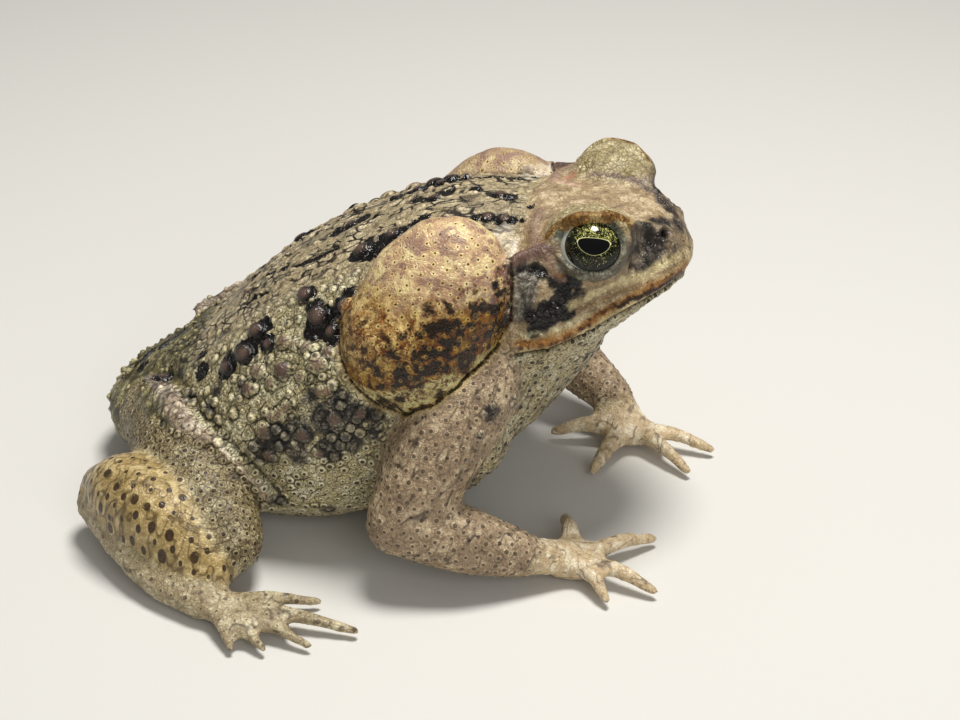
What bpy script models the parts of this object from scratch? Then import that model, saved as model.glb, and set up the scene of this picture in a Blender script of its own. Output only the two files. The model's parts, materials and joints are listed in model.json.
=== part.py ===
"""A life-size cane toad sitting with its front raised on both arms.

The frame is in metres, +Z up and +X the way the toad faces, with the floor at Z = 0 under its middle.
Sizes are named in millimetres and turned to metres by MM.
"""

import math
import random

import bmesh
import bpy
import numpy as np
from mathutils import Matrix, Vector
from mathutils.bvhtree import BVHTree

MM = 0.001
GAP = 0.3 * MM
WIDE_GAP = 0.7 * MM
SLIVER = 0.004 * MM

# Driving sizes of the animal, in millimetres.
HEAD_FRONT_X = 65.2
NECK_X = 23.5
UNDER_MOUTH = 8.0
EYE_CENTRE = Vector((43.8, 19.0, 80.6))
EYE_RADIUS = 8.3
LOWER_LID_THICKNESS = 1.2
UPPER_LID_CENTRE = Vector((42.9, 17.4, 81.5))
UPPER_LID_HALF = Vector((10.8, 9.9, 9.0))
LID_RIM = [Vector((33.2, 17.4, 81.8)), Vector((38.6, 18.9, 86.2)), Vector((45.4, 18.0, 88.6)),
           Vector((49.8, 16.2, 87.7)), Vector((52.2, 14.8, 85.4)), Vector((53.0, 14.8, 81.8))]
OPENING_HALF = Vector((8.3, 6.9))
GAZE = Vector((0.17, 0.88, 0.40)).normalized()
TYMPANUM_CENTRES = {-1: Vector((28.9, 28.6, 72.2)), 1: Vector((31.6, 28.3, 71.8))}
TYMPANUM_RADIUS = 4.0
PAROTOID_CENTRES = {-1: Vector((7.6, 31.0, 66.6)), 1: Vector((11.4, 28.6, 62.6))}
PAROTOID_HALF = Vector((24.5, 17.5, 12.0))
PAROTOID_LONG_WAY = Vector((-0.45, 0.30, -0.84)).normalized()
PAROTOID_OUT_WAY = Vector((0.05, 0.93, 0.34)).normalized()

# Profiles along X: each pair is a place on X and the size there.
BACK_TOP = [(-88, 15), (-85, 20.5), (-80, 25), (-70, 32), (-60, 39.5), (-50, 49), (-40, 58.5), (-30, 66),
            (-15, 74), (0, 81), (12, 83.5), (26, 84), (46, 84)]
BELLY_BOTTOM = [(-88, 15), (-85, 8), (-80, 4), (-70, 0.5), (-60, -1), (-20, -1), (-8, 2), (4, 6), (14, 10.5),
                (24, 20), (32, 29), (40, 40), (46, 49)]
BODY_HALF_WIDTH = [(-88, 0.5), (-85, 10), (-80, 16), (-70, 25), (-60, 33), (-48, 40), (-34, 45), (-18, 46),
                   (-4, 43.5), (10, 38.5), (22, 33.5), (32, 29), (40, 25), (46, 19)]
BODY_WIDEST = [(-88, 15), (-70, 16), (-50, 21), (-30, 27), (-10, 37), (10, 50), (26, 60), (46, 63)]
HEAD_TOP = [(14, 82), (24, 84), (34, 85.4), (46, 85.2), (54, 83.8), (59, 81.6), (63, 78.4), (65.2, 74.4)]
MOUTH_LINE = [(14, 53), (27, 56.6), (36, 59), (44, 63), (52, 66.8), (60, 69.8), (65.2, 71.2)]
CHIN = [(14, 36), (27, 42), (36, 46), (44, 52), (52, 59), (58, 63.5), (62.5, 67), (65.2, 70.3)]
HEAD_HALF_WIDTH = [(14, 29.5), (24, 31), (32, 31), (40, 29), (48, 25.2), (55, 19.6), (60, 13.8), (63.2, 8.0),
                   (65.2, 0.4)]

# Large warts of the near flank and back as x, |y|, z and base radius. The far side gets much the same ones.
BIG_WART = 2.3
WART_COUNT = 60
PLACED_WARTS = [
    (-24.4, 24.1, 63.5, 2.8), (-20.6, 29.7, 62.0, 3.4), (-13.1, 30.8, 64.8, 3.0), (-36.6, 27.1, 53.8, 2.6),
    (-39.4, 30.2, 49.4, 3.4), (-32.1, 31.8, 53.7, 1.8), (-43.8, 30.0, 45.4, 2.2), (-18.2, 39.3, 53.2, 3.0),
    (-27.1, 38.0, 50.3, 2.9), (-28.0, 33.4, 54.7, 2.5), (-33.4, 36.5, 48.1, 2.2), (-21.5, 36.0, 55.8, 2.0),
    (-15.5, 42.5, 48.5, 3.0), (-52.5, 24.3, 40.5, 2.2), (-8.9, 42.5, 49.3, 2.1), (-21.2, 42.8, 45.2, 2.4),
    (-44.7, 8.0, 53.4, 2.2), (-58.4, 24.6, 34.2, 2.0), (-17.0, 8.1, 72.3, 2.9), (-11.3, 3.0, 75.7, 2.4),
    (-54.0, 12.3, 43.8, 2.0), (-37.5, 39.1, 41.0, 2.0),
]

# Bones of the limbs as joints, near side with +Y; the right limbs mirror Y.
RIGHT_LEG = [Vector((-68, 13, 18)), Vector((-37, 56, 12)), Vector((-73, 43.5, 14.5)), Vector((-50, 66, 5))]
LEFT_LEG = [Vector((-66, 12, 17)), Vector((-29, 55, 13)), Vector((-62, 42.5, 13)), Vector((-40, 65, 5))]
RIGHT_ARM = [Vector((18, 31, 48)), Vector((4, 50, 19)), Vector((33, 43, 8.5)), Vector((44.5, 36, 4.5))]
LEFT_ARM = [Vector((15, 31, 50)), Vector((10, 47, 27)), Vector((43.5, 32, 10)), Vector((48.5, 26, 5.0))]

# Fingers: heading in degrees from +X towards the outside, length, thickness and height of the tip.
RIGHT_FINGERS = [(-108, 14, 2.9, 5.0), (-41, 20, 2.7, 2.4), (18, 18.5, 2.6, 2.4), (52, 13, 2.5, 2.4)]
LEFT_FINGERS = [(-170, 17, 2.9, 3.0), (-108, 17.5, 3.0, 2.4), (-39, 20, 2.7, 2.4), (-7, 20, 2.6, 2.4)]


def profile(pairs):
    """A smooth curve through (place, size) pairs, without overshoot."""
    x = np.array([p[0] for p in pairs], float)
    y = np.array([p[1] for p in pairs], float)
    step = np.diff(x)
    rise = np.diff(y) / step
    slope = np.zeros(len(x))
    same_way = rise[:-1] * rise[1:] > 0
    inner = np.where(same_way, 2 * rise[:-1] * rise[1:] / np.where(same_way, rise[:-1] + rise[1:], 1), 0)
    slope[1:-1] = inner
    slope[0], slope[-1] = rise[0], rise[-1]

    def at(place):
        i = int(np.clip(np.searchsorted(x, place) - 1, 0, len(step) - 1))
        t = np.clip((place - x[i]) / step[i], 0, 1)
        a, b = (1 + 2 * t) * (1 - t) ** 2, t * (1 - t) ** 2
        c, d = t * t * (3 - 2 * t), t * t * (t - 1)
        return float(a * y[i] + b * step[i] * slope[i] + c * y[i + 1] + d * step[i] * slope[i + 1])

    return at


def power(value, exponent):
    return math.copysign(abs(value) ** exponent, value)


def new_object(name, mesh):
    obj = bpy.data.objects.new(name, mesh)
    bpy.context.scene.collection.objects.link(obj)
    return obj


def loft(rings):
    """A closed mesh object through rings of points in millimetres, with a point at the middle of each end."""
    bm = bmesh.new()
    rows = [[bm.verts.new(p * MM) for p in ring] for ring in rings]
    count = len(rows[0])
    for low, high in zip(rows, rows[1:]):
        for i in range(count):
            j = (i + 1) % count
            bm.faces.new((low[i], low[j], high[j], high[i]))
    for ring, row, turn in ((rings[0], rows[0], -1), (rings[-1], rows[-1], 1)):
        middle = bm.verts.new(sum(ring, Vector()) / count * MM)
        for i in range(count):
            bm.faces.new((middle, row[i], row[(i + turn) % count]))
    bmesh.ops.recalc_face_normals(bm, faces=bm.faces)
    mesh = bpy.data.meshes.new("loft")
    bm.to_mesh(mesh)
    bm.free()
    return new_object("loft", mesh)


def smooth_path(points, count):
    """Points at even steps on a smooth curve through the given ones."""
    keys = np.array([tuple(p) for p in points], float)
    ways = np.gradient(keys, axis=0)
    out = []
    for s in np.linspace(0, len(keys) - 1, count):
        i = min(int(s), len(keys) - 2)
        t = s - i
        out.append((1 + 2 * t) * (1 - t) ** 2 * keys[i] + t * (1 - t) ** 2 * ways[i]
                   + t * t * (3 - 2 * t) * keys[i + 1] + t * t * (t - 1) * ways[i + 1])
    return [Vector(p) for p in out]


def tube(points, radii, flat=1.0, up=Vector((0, 0, 1)), rings=14, sides=14):
    """A round-ended limb along a path. radii are at the path's points; flat shrinks the size along up."""
    path = smooth_path(points, rings)
    size = profile(list(enumerate(radii)))
    wide = [size(s) for s in np.linspace(0, len(radii) - 1, rings)]
    start_way = (path[0] - path[1]).normalized()
    end_way = (path[-1] - path[-2]).normalized()
    dome = [(math.sin(a), math.cos(a)) for a in (math.radians(75), math.radians(45))]
    path = ([path[0] + start_way * wide[0] * s for s, _ in dome] + path
            + [path[-1] + end_way * wide[-1] * s for s, _ in reversed(dome)])
    wide = [wide[0] * c for _, c in dome] + wide + [wide[-1] * c for _, c in reversed(dome)]
    made = []
    for i, (centre, radius) in enumerate(zip(path, wide)):
        way = (path[min(i + 1, len(path) - 1)] - path[max(i - 1, 0)]).normalized()
        across = way.cross(up).normalized()
        over = across.cross(way).normalized()
        made.append([centre + across * radius * math.cos(a) + over * radius * flat * math.sin(a)
                     for a in np.linspace(0, 2 * math.pi, sides, endpoint=False)])
    return loft(made)


def lump(centre, half, turn=None, detail=3):
    """An ellipsoid with half sizes along its own axes, turned by a 3x3 matrix."""
    bm = bmesh.new()
    bmesh.ops.create_icosphere(bm, subdivisions=detail, radius=1)
    turn = (turn or Matrix.Identity(3)).to_4x4()
    place = Matrix.Translation(Vector(centre) * MM) @ turn @ Matrix.Diagonal((*[h * MM for h in half], 1))
    bm.transform(place)
    mesh = bpy.data.meshes.new("lump")
    bm.to_mesh(mesh)
    bm.free()
    return new_object("lump", mesh)


def axes(first, near_third):
    """A turn whose first column is first and whose third lies near near_third."""
    x = first.normalized()
    y = near_third.cross(x).normalized()
    return Matrix((x, y, x.cross(y))).transposed()


def apply_modifiers(obj):
    graph = bpy.context.evaluated_depsgraph_get()
    mesh = bpy.data.meshes.new_from_object(obj.evaluated_get(graph))
    obj.modifiers.clear()
    obj.data = mesh
    return obj


def joined(objects):
    bm = bmesh.new()
    for obj in objects:
        bm.from_mesh(obj.data)
        bpy.data.objects.remove(obj)
    mesh = bpy.data.meshes.new("joined")
    bm.to_mesh(mesh)
    bm.free()
    return new_object("joined", mesh)


def fused(pieces, voxel, triangles, smoothing=3):
    """One closed skin round all the pieces, smoothed and thinned to about that many triangles."""
    obj = joined(pieces)
    remesh = obj.modifiers.new("Fuse", "REMESH")
    remesh.mode = "VOXEL"
    remesh.voxel_size = voxel * MM
    smooth = obj.modifiers.new("Soften", "SMOOTH")
    smooth.factor = 0.5
    smooth.iterations = smoothing
    apply_modifiers(obj)
    keep_largest(obj)
    have = sum(len(p.vertices) - 2 for p in obj.data.polygons)
    thin = obj.modifiers.new("Thin", "DECIMATE")
    thin.ratio = min(1.0, triangles / have)
    return apply_modifiers(obj)


def keep_largest(obj):
    """Drops every loose scrap but the body with the most faces, after closing up slivers."""
    bm = bmesh.new()
    bm.from_mesh(obj.data)
    bmesh.ops.dissolve_degenerate(bm, dist=SLIVER, edges=bm.edges)
    bmesh.ops.triangulate(bm, faces=bm.faces)
    bm.faces.ensure_lookup_table()
    seen, bodies = set(), []
    for face in bm.faces:
        if face.index in seen:
            continue
        body, todo = [], [face]
        seen.add(face.index)
        while todo:
            f = todo.pop()
            body.append(f)
            for edge in f.edges:
                for other in edge.link_faces if len(edge.link_faces) == 2 else ():
                    if other.index not in seen:
                        seen.add(other.index)
                        todo.append(other)
        bodies.append(body)
    largest = max(bodies, key=len)
    scraps = [f for body in bodies if body is not largest for f in body]
    bmesh.ops.delete(bm, geom=scraps, context="FACES")
    bmesh.ops.delete(bm, geom=[v for v in bm.verts if not v.link_faces], context="VERTS")
    rims = [edge for edge in bm.edges if len(edge.link_faces) == 1]
    if rims:
        bmesh.ops.holes_fill(bm, edges=rims, sides=8)
        bmesh.ops.triangulate(bm, faces=bm.faces)
        bmesh.ops.recalc_face_normals(bm, faces=bm.faces)
    bm.to_mesh(obj.data)
    bm.free()
    return obj


def copied(obj, swell=0.0):
    """A copy that is swollen along its normals by that many metres."""
    other = new_object("copy", obj.data.copy())
    if swell:
        push = other.modifiers.new("Swell", "DISPLACE")
        push.strength = swell
        push.mid_level = 0.0
        apply_modifiers(other)
    return other


def is_manifold(obj):
    bm = bmesh.new()
    bm.from_mesh(obj.data)
    whole = all(len(edge.link_faces) == 2 for edge in bm.edges)
    bm.free()
    return whole


def boolean(obj, other, operation):
    """Applies a Boolean with a helper object, which is then removed."""
    step = obj.modifiers.new("Cut", "BOOLEAN")
    step.operation = operation
    step.solver = "MANIFOLD" if is_manifold(obj) and is_manifold(other) else "EXACT"
    step.object = other
    apply_modifiers(obj)
    bpy.data.objects.remove(other)
    return obj


def clear_of(obj, *neighbours, gap=GAP):
    """Cuts obj back from each neighbour by the gap that touching pieces keep."""
    for neighbour in neighbours:
        boolean(obj, copied(neighbour, gap), "DIFFERENCE")
    return keep_largest(obj)


def cut_flat(obj, point, way):
    """Removes what lies beyond a plane, given by a point in millimetres and the way that is removed."""
    bm = bmesh.new()
    bm.from_mesh(obj.data)
    everything = bm.verts[:] + bm.edges[:] + bm.faces[:]
    cut = bmesh.ops.bisect_plane(bm, geom=everything, plane_co=Vector(point) * MM, plane_no=way,
                                 clear_outer=True, dist=1e-7)
    rim = [e for e in cut["geom_cut"] if isinstance(e, bmesh.types.BMEdge)]
    bmesh.ops.triangle_fill(bm, edges=rim, use_beauty=True)
    bmesh.ops.recalc_face_normals(bm, faces=bm.faces)
    bm.to_mesh(obj.data)
    bm.free()
    return obj


def mirrored(points, side):
    return [Vector((p.x, p.y * side, p.z)) for p in points]


def body_ring(x, sides=30):
    """One upright section of the trunk: round above, flatter where the belly lies on the ground."""
    top, bottom = back_top(x), belly_bottom(x)
    wide, level = body_half_width(x), body_widest(x)
    ring = []
    for a in np.linspace(0, 2 * math.pi, sides, endpoint=False):
        c, s = math.cos(a), math.sin(a)
        if s >= 0:
            ring.append(Vector((x, wide * power(c, 0.95), level + (top - level) * power(s, 1.0))))
        else:
            ring.append(Vector((x, wide * power(c, 0.8), level + (level - bottom) * power(s, 0.75))))
    return ring


def head_ring(x, sides=30):
    """One upright section of the head: a flat crown over sides that slope out to the lips."""
    top, mouth, chin = head_top(x), mouth_line(x), chin_line(x)
    wide = head_half_width(x)
    ring = []
    for a in np.linspace(0, 2 * math.pi, sides, endpoint=False):
        c, s = math.cos(a), math.sin(a)
        if s >= 0:
            ring.append(Vector((x, wide * power(c, 1.12), mouth + (top - mouth) * power(s, 0.74))))
        else:
            ring.append(Vector((x, wide * power(c, 0.85), mouth + (mouth - chin) * power(s, 1.0))))
    return ring


def stations(first, last, count):
    """Places along X, set closer together at both ends."""
    return [first + (last - first) * (0.5 - 0.5 * math.cos(math.pi * i / (count - 1))) for i in range(count)]


def dome(place, way, radius, tall):
    """A low round wart on the skin at place, standing along way, with its foot sunk below the skin."""
    turn = axes(way, Vector((1, 0, 0)))
    steps = ((-0.35, 1.0), (0.5, 0.84), (0.88, 0.46)) if radius > BIG_WART else ((-0.35, 1.0), (0.68, 0.68))
    sides = 8 if radius > BIG_WART else 6
    bm = bmesh.new()
    rows = []
    for height, share in steps:
        rows.append([bm.verts.new((place + turn @ Vector((height * tall, radius * share * math.cos(a),
                                                          radius * share * math.sin(a)))) * MM)
                     for a in np.linspace(0, 2 * math.pi, sides, endpoint=False)])
    for low, high in zip(rows, rows[1:]):
        for i in range(sides):
            j = (i + 1) % sides
            bm.faces.new((low[i], low[j], high[j]))
            bm.faces.new((low[i], high[j], high[i]))
    top = bm.verts.new((place + turn @ Vector((tall, 0, 0))) * MM)
    foot = bm.verts.new((place + turn @ Vector((-0.35 * tall, 0, 0))) * MM)
    for i in range(sides):
        j = (i + 1) % sides
        bm.faces.new((rows[-1][i], rows[-1][j], top))
        bm.faces.new((rows[0][j], rows[0][i], foot))
    bmesh.ops.recalc_face_normals(bm, faces=bm.faces)
    mesh = bpy.data.meshes.new("dome")
    bm.to_mesh(mesh)
    bm.free()
    return new_object("dome", mesh)


def wart_places(skin, seed):
    """Where the large warts are: the placed ones on both sides, then scattered ones between them."""
    draw = random.Random(seed)
    found = []

    def add(point, radius):
        place, way, _, _ = skin.find_nearest(point * MM)
        place = place / MM
        if all((place - other).length > 0.95 * (radius + size) for other, _, size in found):
            found.append((place, way, radius))

    for x, y, z, radius in PLACED_WARTS:
        add(Vector((x, -y, z)), radius)
    for x, y, z, radius in PLACED_WARTS:
        near = Vector((draw.uniform(-3, 3), draw.uniform(-2, 2), draw.uniform(-2, 2)))
        add(Vector((x, y, z)) + near, radius * draw.uniform(0.85, 1.05))
    while len(found) < WART_COUNT:
        x = draw.uniform(-76, 2)
        angle = math.radians(draw.uniform(12, 168))
        top, level, wide = back_top(x), body_widest(x), body_half_width(x)
        rough = Vector((x, wide * math.cos(angle), level + (top - level) * math.sin(angle)))
        add(rough, draw.uniform(1.5, 2.3))
    return found


def add_warts(body, seed):
    """Joins the warts to the body with one Boolean union."""
    bm = bmesh.new()
    bm.from_mesh(body.data)
    skin = BVHTree.FromBMesh(bm)
    bm.free()
    group = bpy.data.collections.new("warts")
    for place, way, radius in wart_places(skin, seed):
        wart = dome(place, way, radius, 0.62 * radius)
        group.objects.link(wart)
    step = body.modifiers.new("Warts", "BOOLEAN")
    step.operation = "UNION"
    step.solver = "EXACT"
    step.operand_type = "COLLECTION"
    step.collection = group
    apply_modifiers(body)
    for wart in list(group.objects):
        bpy.data.objects.remove(wart)
    bpy.data.collections.remove(group)
    return keep_largest(body)


def make_torso():
    pieces = [loft([body_ring(x) for x in stations(-88, 46, 32)])]
    for side in (-1, 1):
        fold = [Vector((-70, 20, 31)), Vector((-60, 31, 30)), Vector((-49, 40, 26.5)), Vector((-39, 44, 19)),
                Vector((-32, 42, 13))]
        pieces.append(tube(mirrored(fold, side), [3.0, 4.0, 4.6, 4.0, 2.2]))
        shoulder = mirrored([Vector((12, 28, 50)), Vector((16, 27, 34)), Vector((12, 26, 22))], side)
        pieces.append(tube(shoulder, [13, 12, 9]))
        rump = mirrored([Vector((-62, 16, 19)), Vector((-74, 12, 15))], side)
        pieces.append(tube(rump, [13, 9]))
    torso = fused(pieces, voxel=1.3, triangles=1250, smoothing=3)
    add_warts(torso, seed=11)
    return cut_flat(torso, (0, 0, 0), (0, 0, -1))


def make_head():
    """The head before its sockets are cut: skull, eyelids, crests and lips fused to one skin."""
    pieces = [loft([head_ring(x) for x in stations(14, HEAD_FRONT_X, 26)])]
    for side in (-1, 1):
        eye = mirrored([EYE_CENTRE], side)[0]
        lower_lid = EYE_RADIUS + LOWER_LID_THICKNESS
        pieces.append(lump(eye, (lower_lid + 0.4, lower_lid, lower_lid), detail=4))
        pieces.append(lump(mirrored([UPPER_LID_CENTRE], side)[0], UPPER_LID_HALF, detail=4))
        pieces.append(tube(mirrored(LID_RIM, side), [1.2, 1.5, 1.7, 1.7, 1.5, 1.1], rings=16))
        canthus = [Vector((51.5, 12.6, 84.4)), Vector((55.5, 9.0, 82.3)), Vector((59, 5.8, 80.2)), Vector((62, 2.2, 78.0))]
        pieces.append(tube(mirrored(canthus, side), [1.5, 1.6, 1.5, 1.1]))
        behind_eye = [Vector((29.5, 10.5, 83.4)), Vector((29.3, 16.5, 81.6)), Vector((30.5, 21.5, 80.2)),
                      Vector((32.6, 25.2, 77.8)), Vector((36.2, 26.6, 74.2))]
        pieces.append(tube(mirrored(behind_eye, side), [0.9, 1.4, 1.8, 1.9, 1.2]))
        over_ear = [Vector((31.5, 23.8, 78.8)), Vector((28.2, 25.0, 78.7)), Vector((25.4, 26.4, 77.4)),
                    Vector((22.5, 27.6, 75.2))]
        pieces.append(tube(mirrored(over_ear, side), [1.7, 1.9, 1.8, 1.4]))
        cheek = [Vector((38.5, 25.8, 69.5)), Vector((44, 25.0, 70.4)), Vector((50, 20.6, 72.4))]
        pieces.append(tube(mirrored(cheek, side), [1.3, 1.6, 1.2]))
        lip = [Vector((x, head_half_width(x) - 0.6, mouth_line(x) + 1.9)) for x in (28, 36, 44, 52, 58, 61.5, 64)]
        lip.append(Vector((HEAD_FRONT_X - 0.5, 1.0, mouth_line(HEAD_FRONT_X) + 1.9)))
        pieces.append(tube(mirrored(lip, side), [1.6, 1.8, 1.8, 1.7, 1.6, 1.5, 1.4, 1.4], rings=20))
        jaw = [Vector((x, head_half_width(x) - 1.6, mouth_line(x) - 1.6)) for x in (28, 36, 44, 52, 58, 61.5, 64)]
        pieces.append(tube(mirrored(jaw, side), [1.5, 1.5, 1.4, 1.3, 1.2, 1.2, 1.2], rings=20))
        pieces.append(lump((60.4, 8.3 * side, 78.4), (2.3, 1.8, 2.0), detail=3))
    return fused(pieces, voxel=0.75, triangles=2400, smoothing=2)


def make_eye(side):
    bm = bmesh.new()
    bmesh.ops.create_icosphere(bm, subdivisions=3, radius=EYE_RADIUS * MM)
    bmesh.ops.translate(bm, verts=bm.verts, vec=mirrored([EYE_CENTRE], side)[0] * MM)
    mesh = bpy.data.meshes.new("eye")
    bm.to_mesh(mesh)
    bm.free()
    return new_object("eye", mesh)


def make_disc(centre, way, radius, thick):
    """A slightly domed round plate, such as an ear drum, facing way."""
    turn = axes(way, Vector((0, 0, 1)))
    rings = []
    for depth, share in ((-0.5, 0.9), (-0.3, 1.0), (0.15, 1.0), (0.4, 0.8), (0.5, 0.4)):
        rings.append([Vector(centre) + turn @ Vector((depth * thick, radius * share * math.cos(a),
                                                      radius * share * math.sin(a)))
                      for a in np.linspace(0, 2 * math.pi, 20, endpoint=False)])
    return loft(rings)


def make_opening(side):
    """The cutter for the opening between the lids: an oval shaft along the gaze, under the rim of the upper lid."""
    eye = mirrored([EYE_CENTRE], side)[0]
    way = mirrored([GAZE], side)[0]
    turn = axes(way, Vector((0, 0, 1)))
    rings = []
    for depth, share in ((1.5, 0.62), (7.0, 1.0), (16.0, 1.15)):
        rings.append([eye + turn @ Vector((depth, OPENING_HALF.x * share * math.cos(a),
                                           -0.5 + OPENING_HALF.y * share * math.sin(a)))
                      for a in np.linspace(0, 2 * math.pi, 28, endpoint=False)])
    return loft(rings)


def make_parotoid(side):
    """The great swollen gland behind the ear, sunk into the shoulder."""
    turn = axes(mirrored([PAROTOID_LONG_WAY], side)[0], mirrored([PAROTOID_OUT_WAY], side)[0])
    centre = mirrored([PAROTOID_CENTRES[side]], side)[0]
    gland = lump(centre, PAROTOID_HALF, turn, detail=3)
    low_lobe = centre + turn @ Vector((9, 0, 0.5))
    lobe = lump(low_lobe, (16.5, 17.0, 13.0), turn, detail=3)
    return fused([gland, lobe], voxel=1.3, triangles=380, smoothing=4)


def finger(root, tip, thick, bend=1.6):
    """A stubby digit with a swelling at its middle joint and a round tip."""
    way = tip - root
    middle = root + way * 0.5 + Vector((0, 0, bend))
    near_tip = root + way * 0.85 + Vector((0, 0, bend * 0.35))
    return tube([root, middle, near_tip, tip], [thick, thick * 0.92, thick * 0.72, thick * 0.66], rings=9, sides=10)


def make_arm(joints, side, digits):
    """Upper arm, forearm and hand, each its own skin; they overlap at the joints until they are cut back."""
    shoulder, elbow, wrist, palm = mirrored(joints, side)
    upper_middle = (shoulder + elbow) / 2 + Vector((0, 1.5 * side, 0))
    lower_middle = elbow.lerp(wrist, 0.45) + Vector((0, 1.0 * side, 0.5))
    upper = fused([tube([shoulder, upper_middle, elbow], [12.5, 11.4, 8.8])], voxel=1.2, triangles=220)
    lower = fused([tube([elbow, lower_middle, wrist], [8.4, 8.6, 6.0])], voxel=1.0, triangles=200)
    pieces = [tube([wrist, palm], [5.8, 5.6], flat=0.75, rings=6), lump(palm - Vector((0, 0, 0.8)), (7.6, 7.0, 3.9))]
    for root, tip, thick in digits:
        pieces.append(finger(*mirrored([root, tip], side), thick))
    hand = fused(pieces, voxel=0.7, triangles=420, smoothing=2)
    return [cut_flat(obj, (0, 0, 0), (0, 0, -1)) for obj in (upper, lower, hand)]


def hand_digits(joints, ways):
    """Four fingers fanned from the palm. Each way is a heading in degrees from +X towards the outside."""
    palm = joints[3]
    digits = []
    for heading, length, thick, height in ways:
        a = math.radians(heading)
        out = Vector((math.cos(a), math.sin(a), 0))
        root = palm + out * 3.0
        tip = palm + out * (3.0 + length)
        tip.z = height
        digits.append((root, tip, thick))
    return digits


def loose_bodies(obj):
    """Each closed body of obj as its own object, largest first; obj is removed."""
    bm = bmesh.new()
    bm.from_mesh(obj.data)
    bm.verts.ensure_lookup_table()
    label = [-1] * len(bm.verts)
    count = 0
    for vert in bm.verts:
        if label[vert.index] >= 0:
            continue
        label[vert.index] = count
        todo = [vert]
        while todo:
            v = todo.pop()
            for edge in v.link_edges:
                other = edge.other_vert(v)
                if label[other.index] < 0:
                    label[other.index] = count
                    todo.append(other)
        count += 1
    bm.free()
    bodies = []
    for n in range(count):
        part = bmesh.new()
        part.from_mesh(obj.data)
        part.verts.ensure_lookup_table()
        bmesh.ops.delete(part, geom=[v for v in part.verts if label[v.index] != n], context="VERTS")
        mesh = bpy.data.meshes.new("body")
        part.to_mesh(mesh)
        part.free()
        bodies.append(new_object("body", mesh))
    bpy.data.objects.remove(obj)
    return sorted(bodies, key=lambda o: -len(o.data.polygons))


def middle_of(obj):
    return sum((v.co for v in obj.data.vertices), Vector()) / len(obj.data.vertices) / MM


def make_foot(joints, side):
    """Heel to toe tips, with webs that reach about a third of the way out."""
    heel, root = mirrored(joints[2:], side)
    sole = root + Vector((13, 5.5 * side, -0.6))
    ankle = heel + Vector((-1, 1.5 * side, -4.0))
    pieces = [tube([ankle, heel.lerp(root, 0.5) + Vector((0, 3 * side, -2)), root, sole], [6.6, 6.0, 5.8, 5.6],
                   flat=0.8)]
    toes = [(46, 11, 2.2), (27, 16, 2.3), (9, 23, 2.4), (-7, 31, 2.5), (-27, 21, 2.4)]
    tips = []
    for heading, length, thick in toes:
        a = math.radians(heading + 8)
        out = Vector((math.cos(a), math.sin(a) * side, 0))
        start = sole + out * 3.0
        tip = sole + out * (5.0 + length)
        tip.z = 2.2
        tips.append((start, tip))
        pieces.append(finger(start, tip, thick, bend=1.2))
    for (start, tip), (next_start, next_tip) in zip(tips, tips[1:]):
        pieces.append(web(start, tip, next_start, next_tip))
    foot = fused(pieces, voxel=0.8, triangles=620, smoothing=2)
    return cut_flat(foot, (0, 0, 0), (0, 0, -1))


def make_leg(joints, side):
    """Thigh and shank, two thick rolls that lie against each other from the knee."""
    hip, knee, heel, _ = mirrored(joints, side)
    thigh_middle = hip.lerp(knee, 0.5) + Vector((0, 2.5 * side, 4))
    thigh = fused([tube([hip, thigh_middle, knee], [12, 12.5, 9.5])], voxel=1.3, triangles=260)
    shank_start = knee + Vector((-3.5, 6 * side, -3))
    calf = shank_start.lerp(heel, 0.42) + Vector((0, 0, 4))
    ankle_side = shank_start.lerp(heel, 0.76) + Vector((0, 0, 3.2))
    shank = fused([tube([shank_start, calf, ankle_side, heel], [8.6, 11.2, 10.4, 6.6])], voxel=1.3, triangles=300)
    return thigh, shank


def web(start, tip, next_start, next_tip, reach=0.45, thick=1.5, rows=6):
    """The skin between two toes, with a hollow free edge."""
    rings = []
    for t in np.linspace(0.02, 0.98, rows):
        a = start.lerp(next_start, t)
        hollow = reach - 0.16 * math.sin(math.pi * t)
        b = start.lerp(tip, reach).lerp(next_start.lerp(next_tip, reach), t)
        b = a + (b - a) * (hollow / reach)
        a = Vector((a.x, a.y, 1.9))
        b = Vector((b.x, b.y, 1.6))
        lift = Vector((0, 0, thick / 2))
        rings.append([a - lift, b - lift, b + lift, a + lift])
    return loft(rings)


def neck_cut(obj):
    """Cuts the head off behind the neck, a plane that leans with the back of the head."""
    lean = Vector((1, 0, -0.12)).normalized()
    return cut_flat(obj, Vector((NECK_X, 0, 66)) + lean * 0.15, -lean)


def head_room():
    """The space of the head and jaws in front of the neck, down to a line under the mouth; the chest stays below it."""
    lean = Vector((1, 0, -0.12)).normalized()
    back = [Vector((NECK_X, 0, 66)) - lean * 0.15 + Vector((0.12 * rise, 0, rise)) for rise in (-UNDER_MOUTH - 11, 54)]
    under = [Vector((x, 0, mouth_line(x) - UNDER_MOUTH)) for x in (26, 34, 42, 50, 60)]
    outline = [back[1], back[0], *under, Vector((80, 0, 80)), Vector((80, 0, 120))]
    return loft([[p + Vector((0, y, 0)) for p in outline] for y in (-60, 60)])


def mouth_blade():
    """A thin curved blade along the line of the mouth, right through the head."""
    places = np.linspace(12, 72, 24)
    rings = []
    for y in (-45, -15, 15, 45):
        upper = [Vector((x, y, mouth_line(x) + 0.15)) for x in places]
        lower = [Vector((x, y, mouth_line(x) - 0.15)) for x in reversed(places)]
        rings.append(upper + lower)
    return loft(rings)


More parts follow.
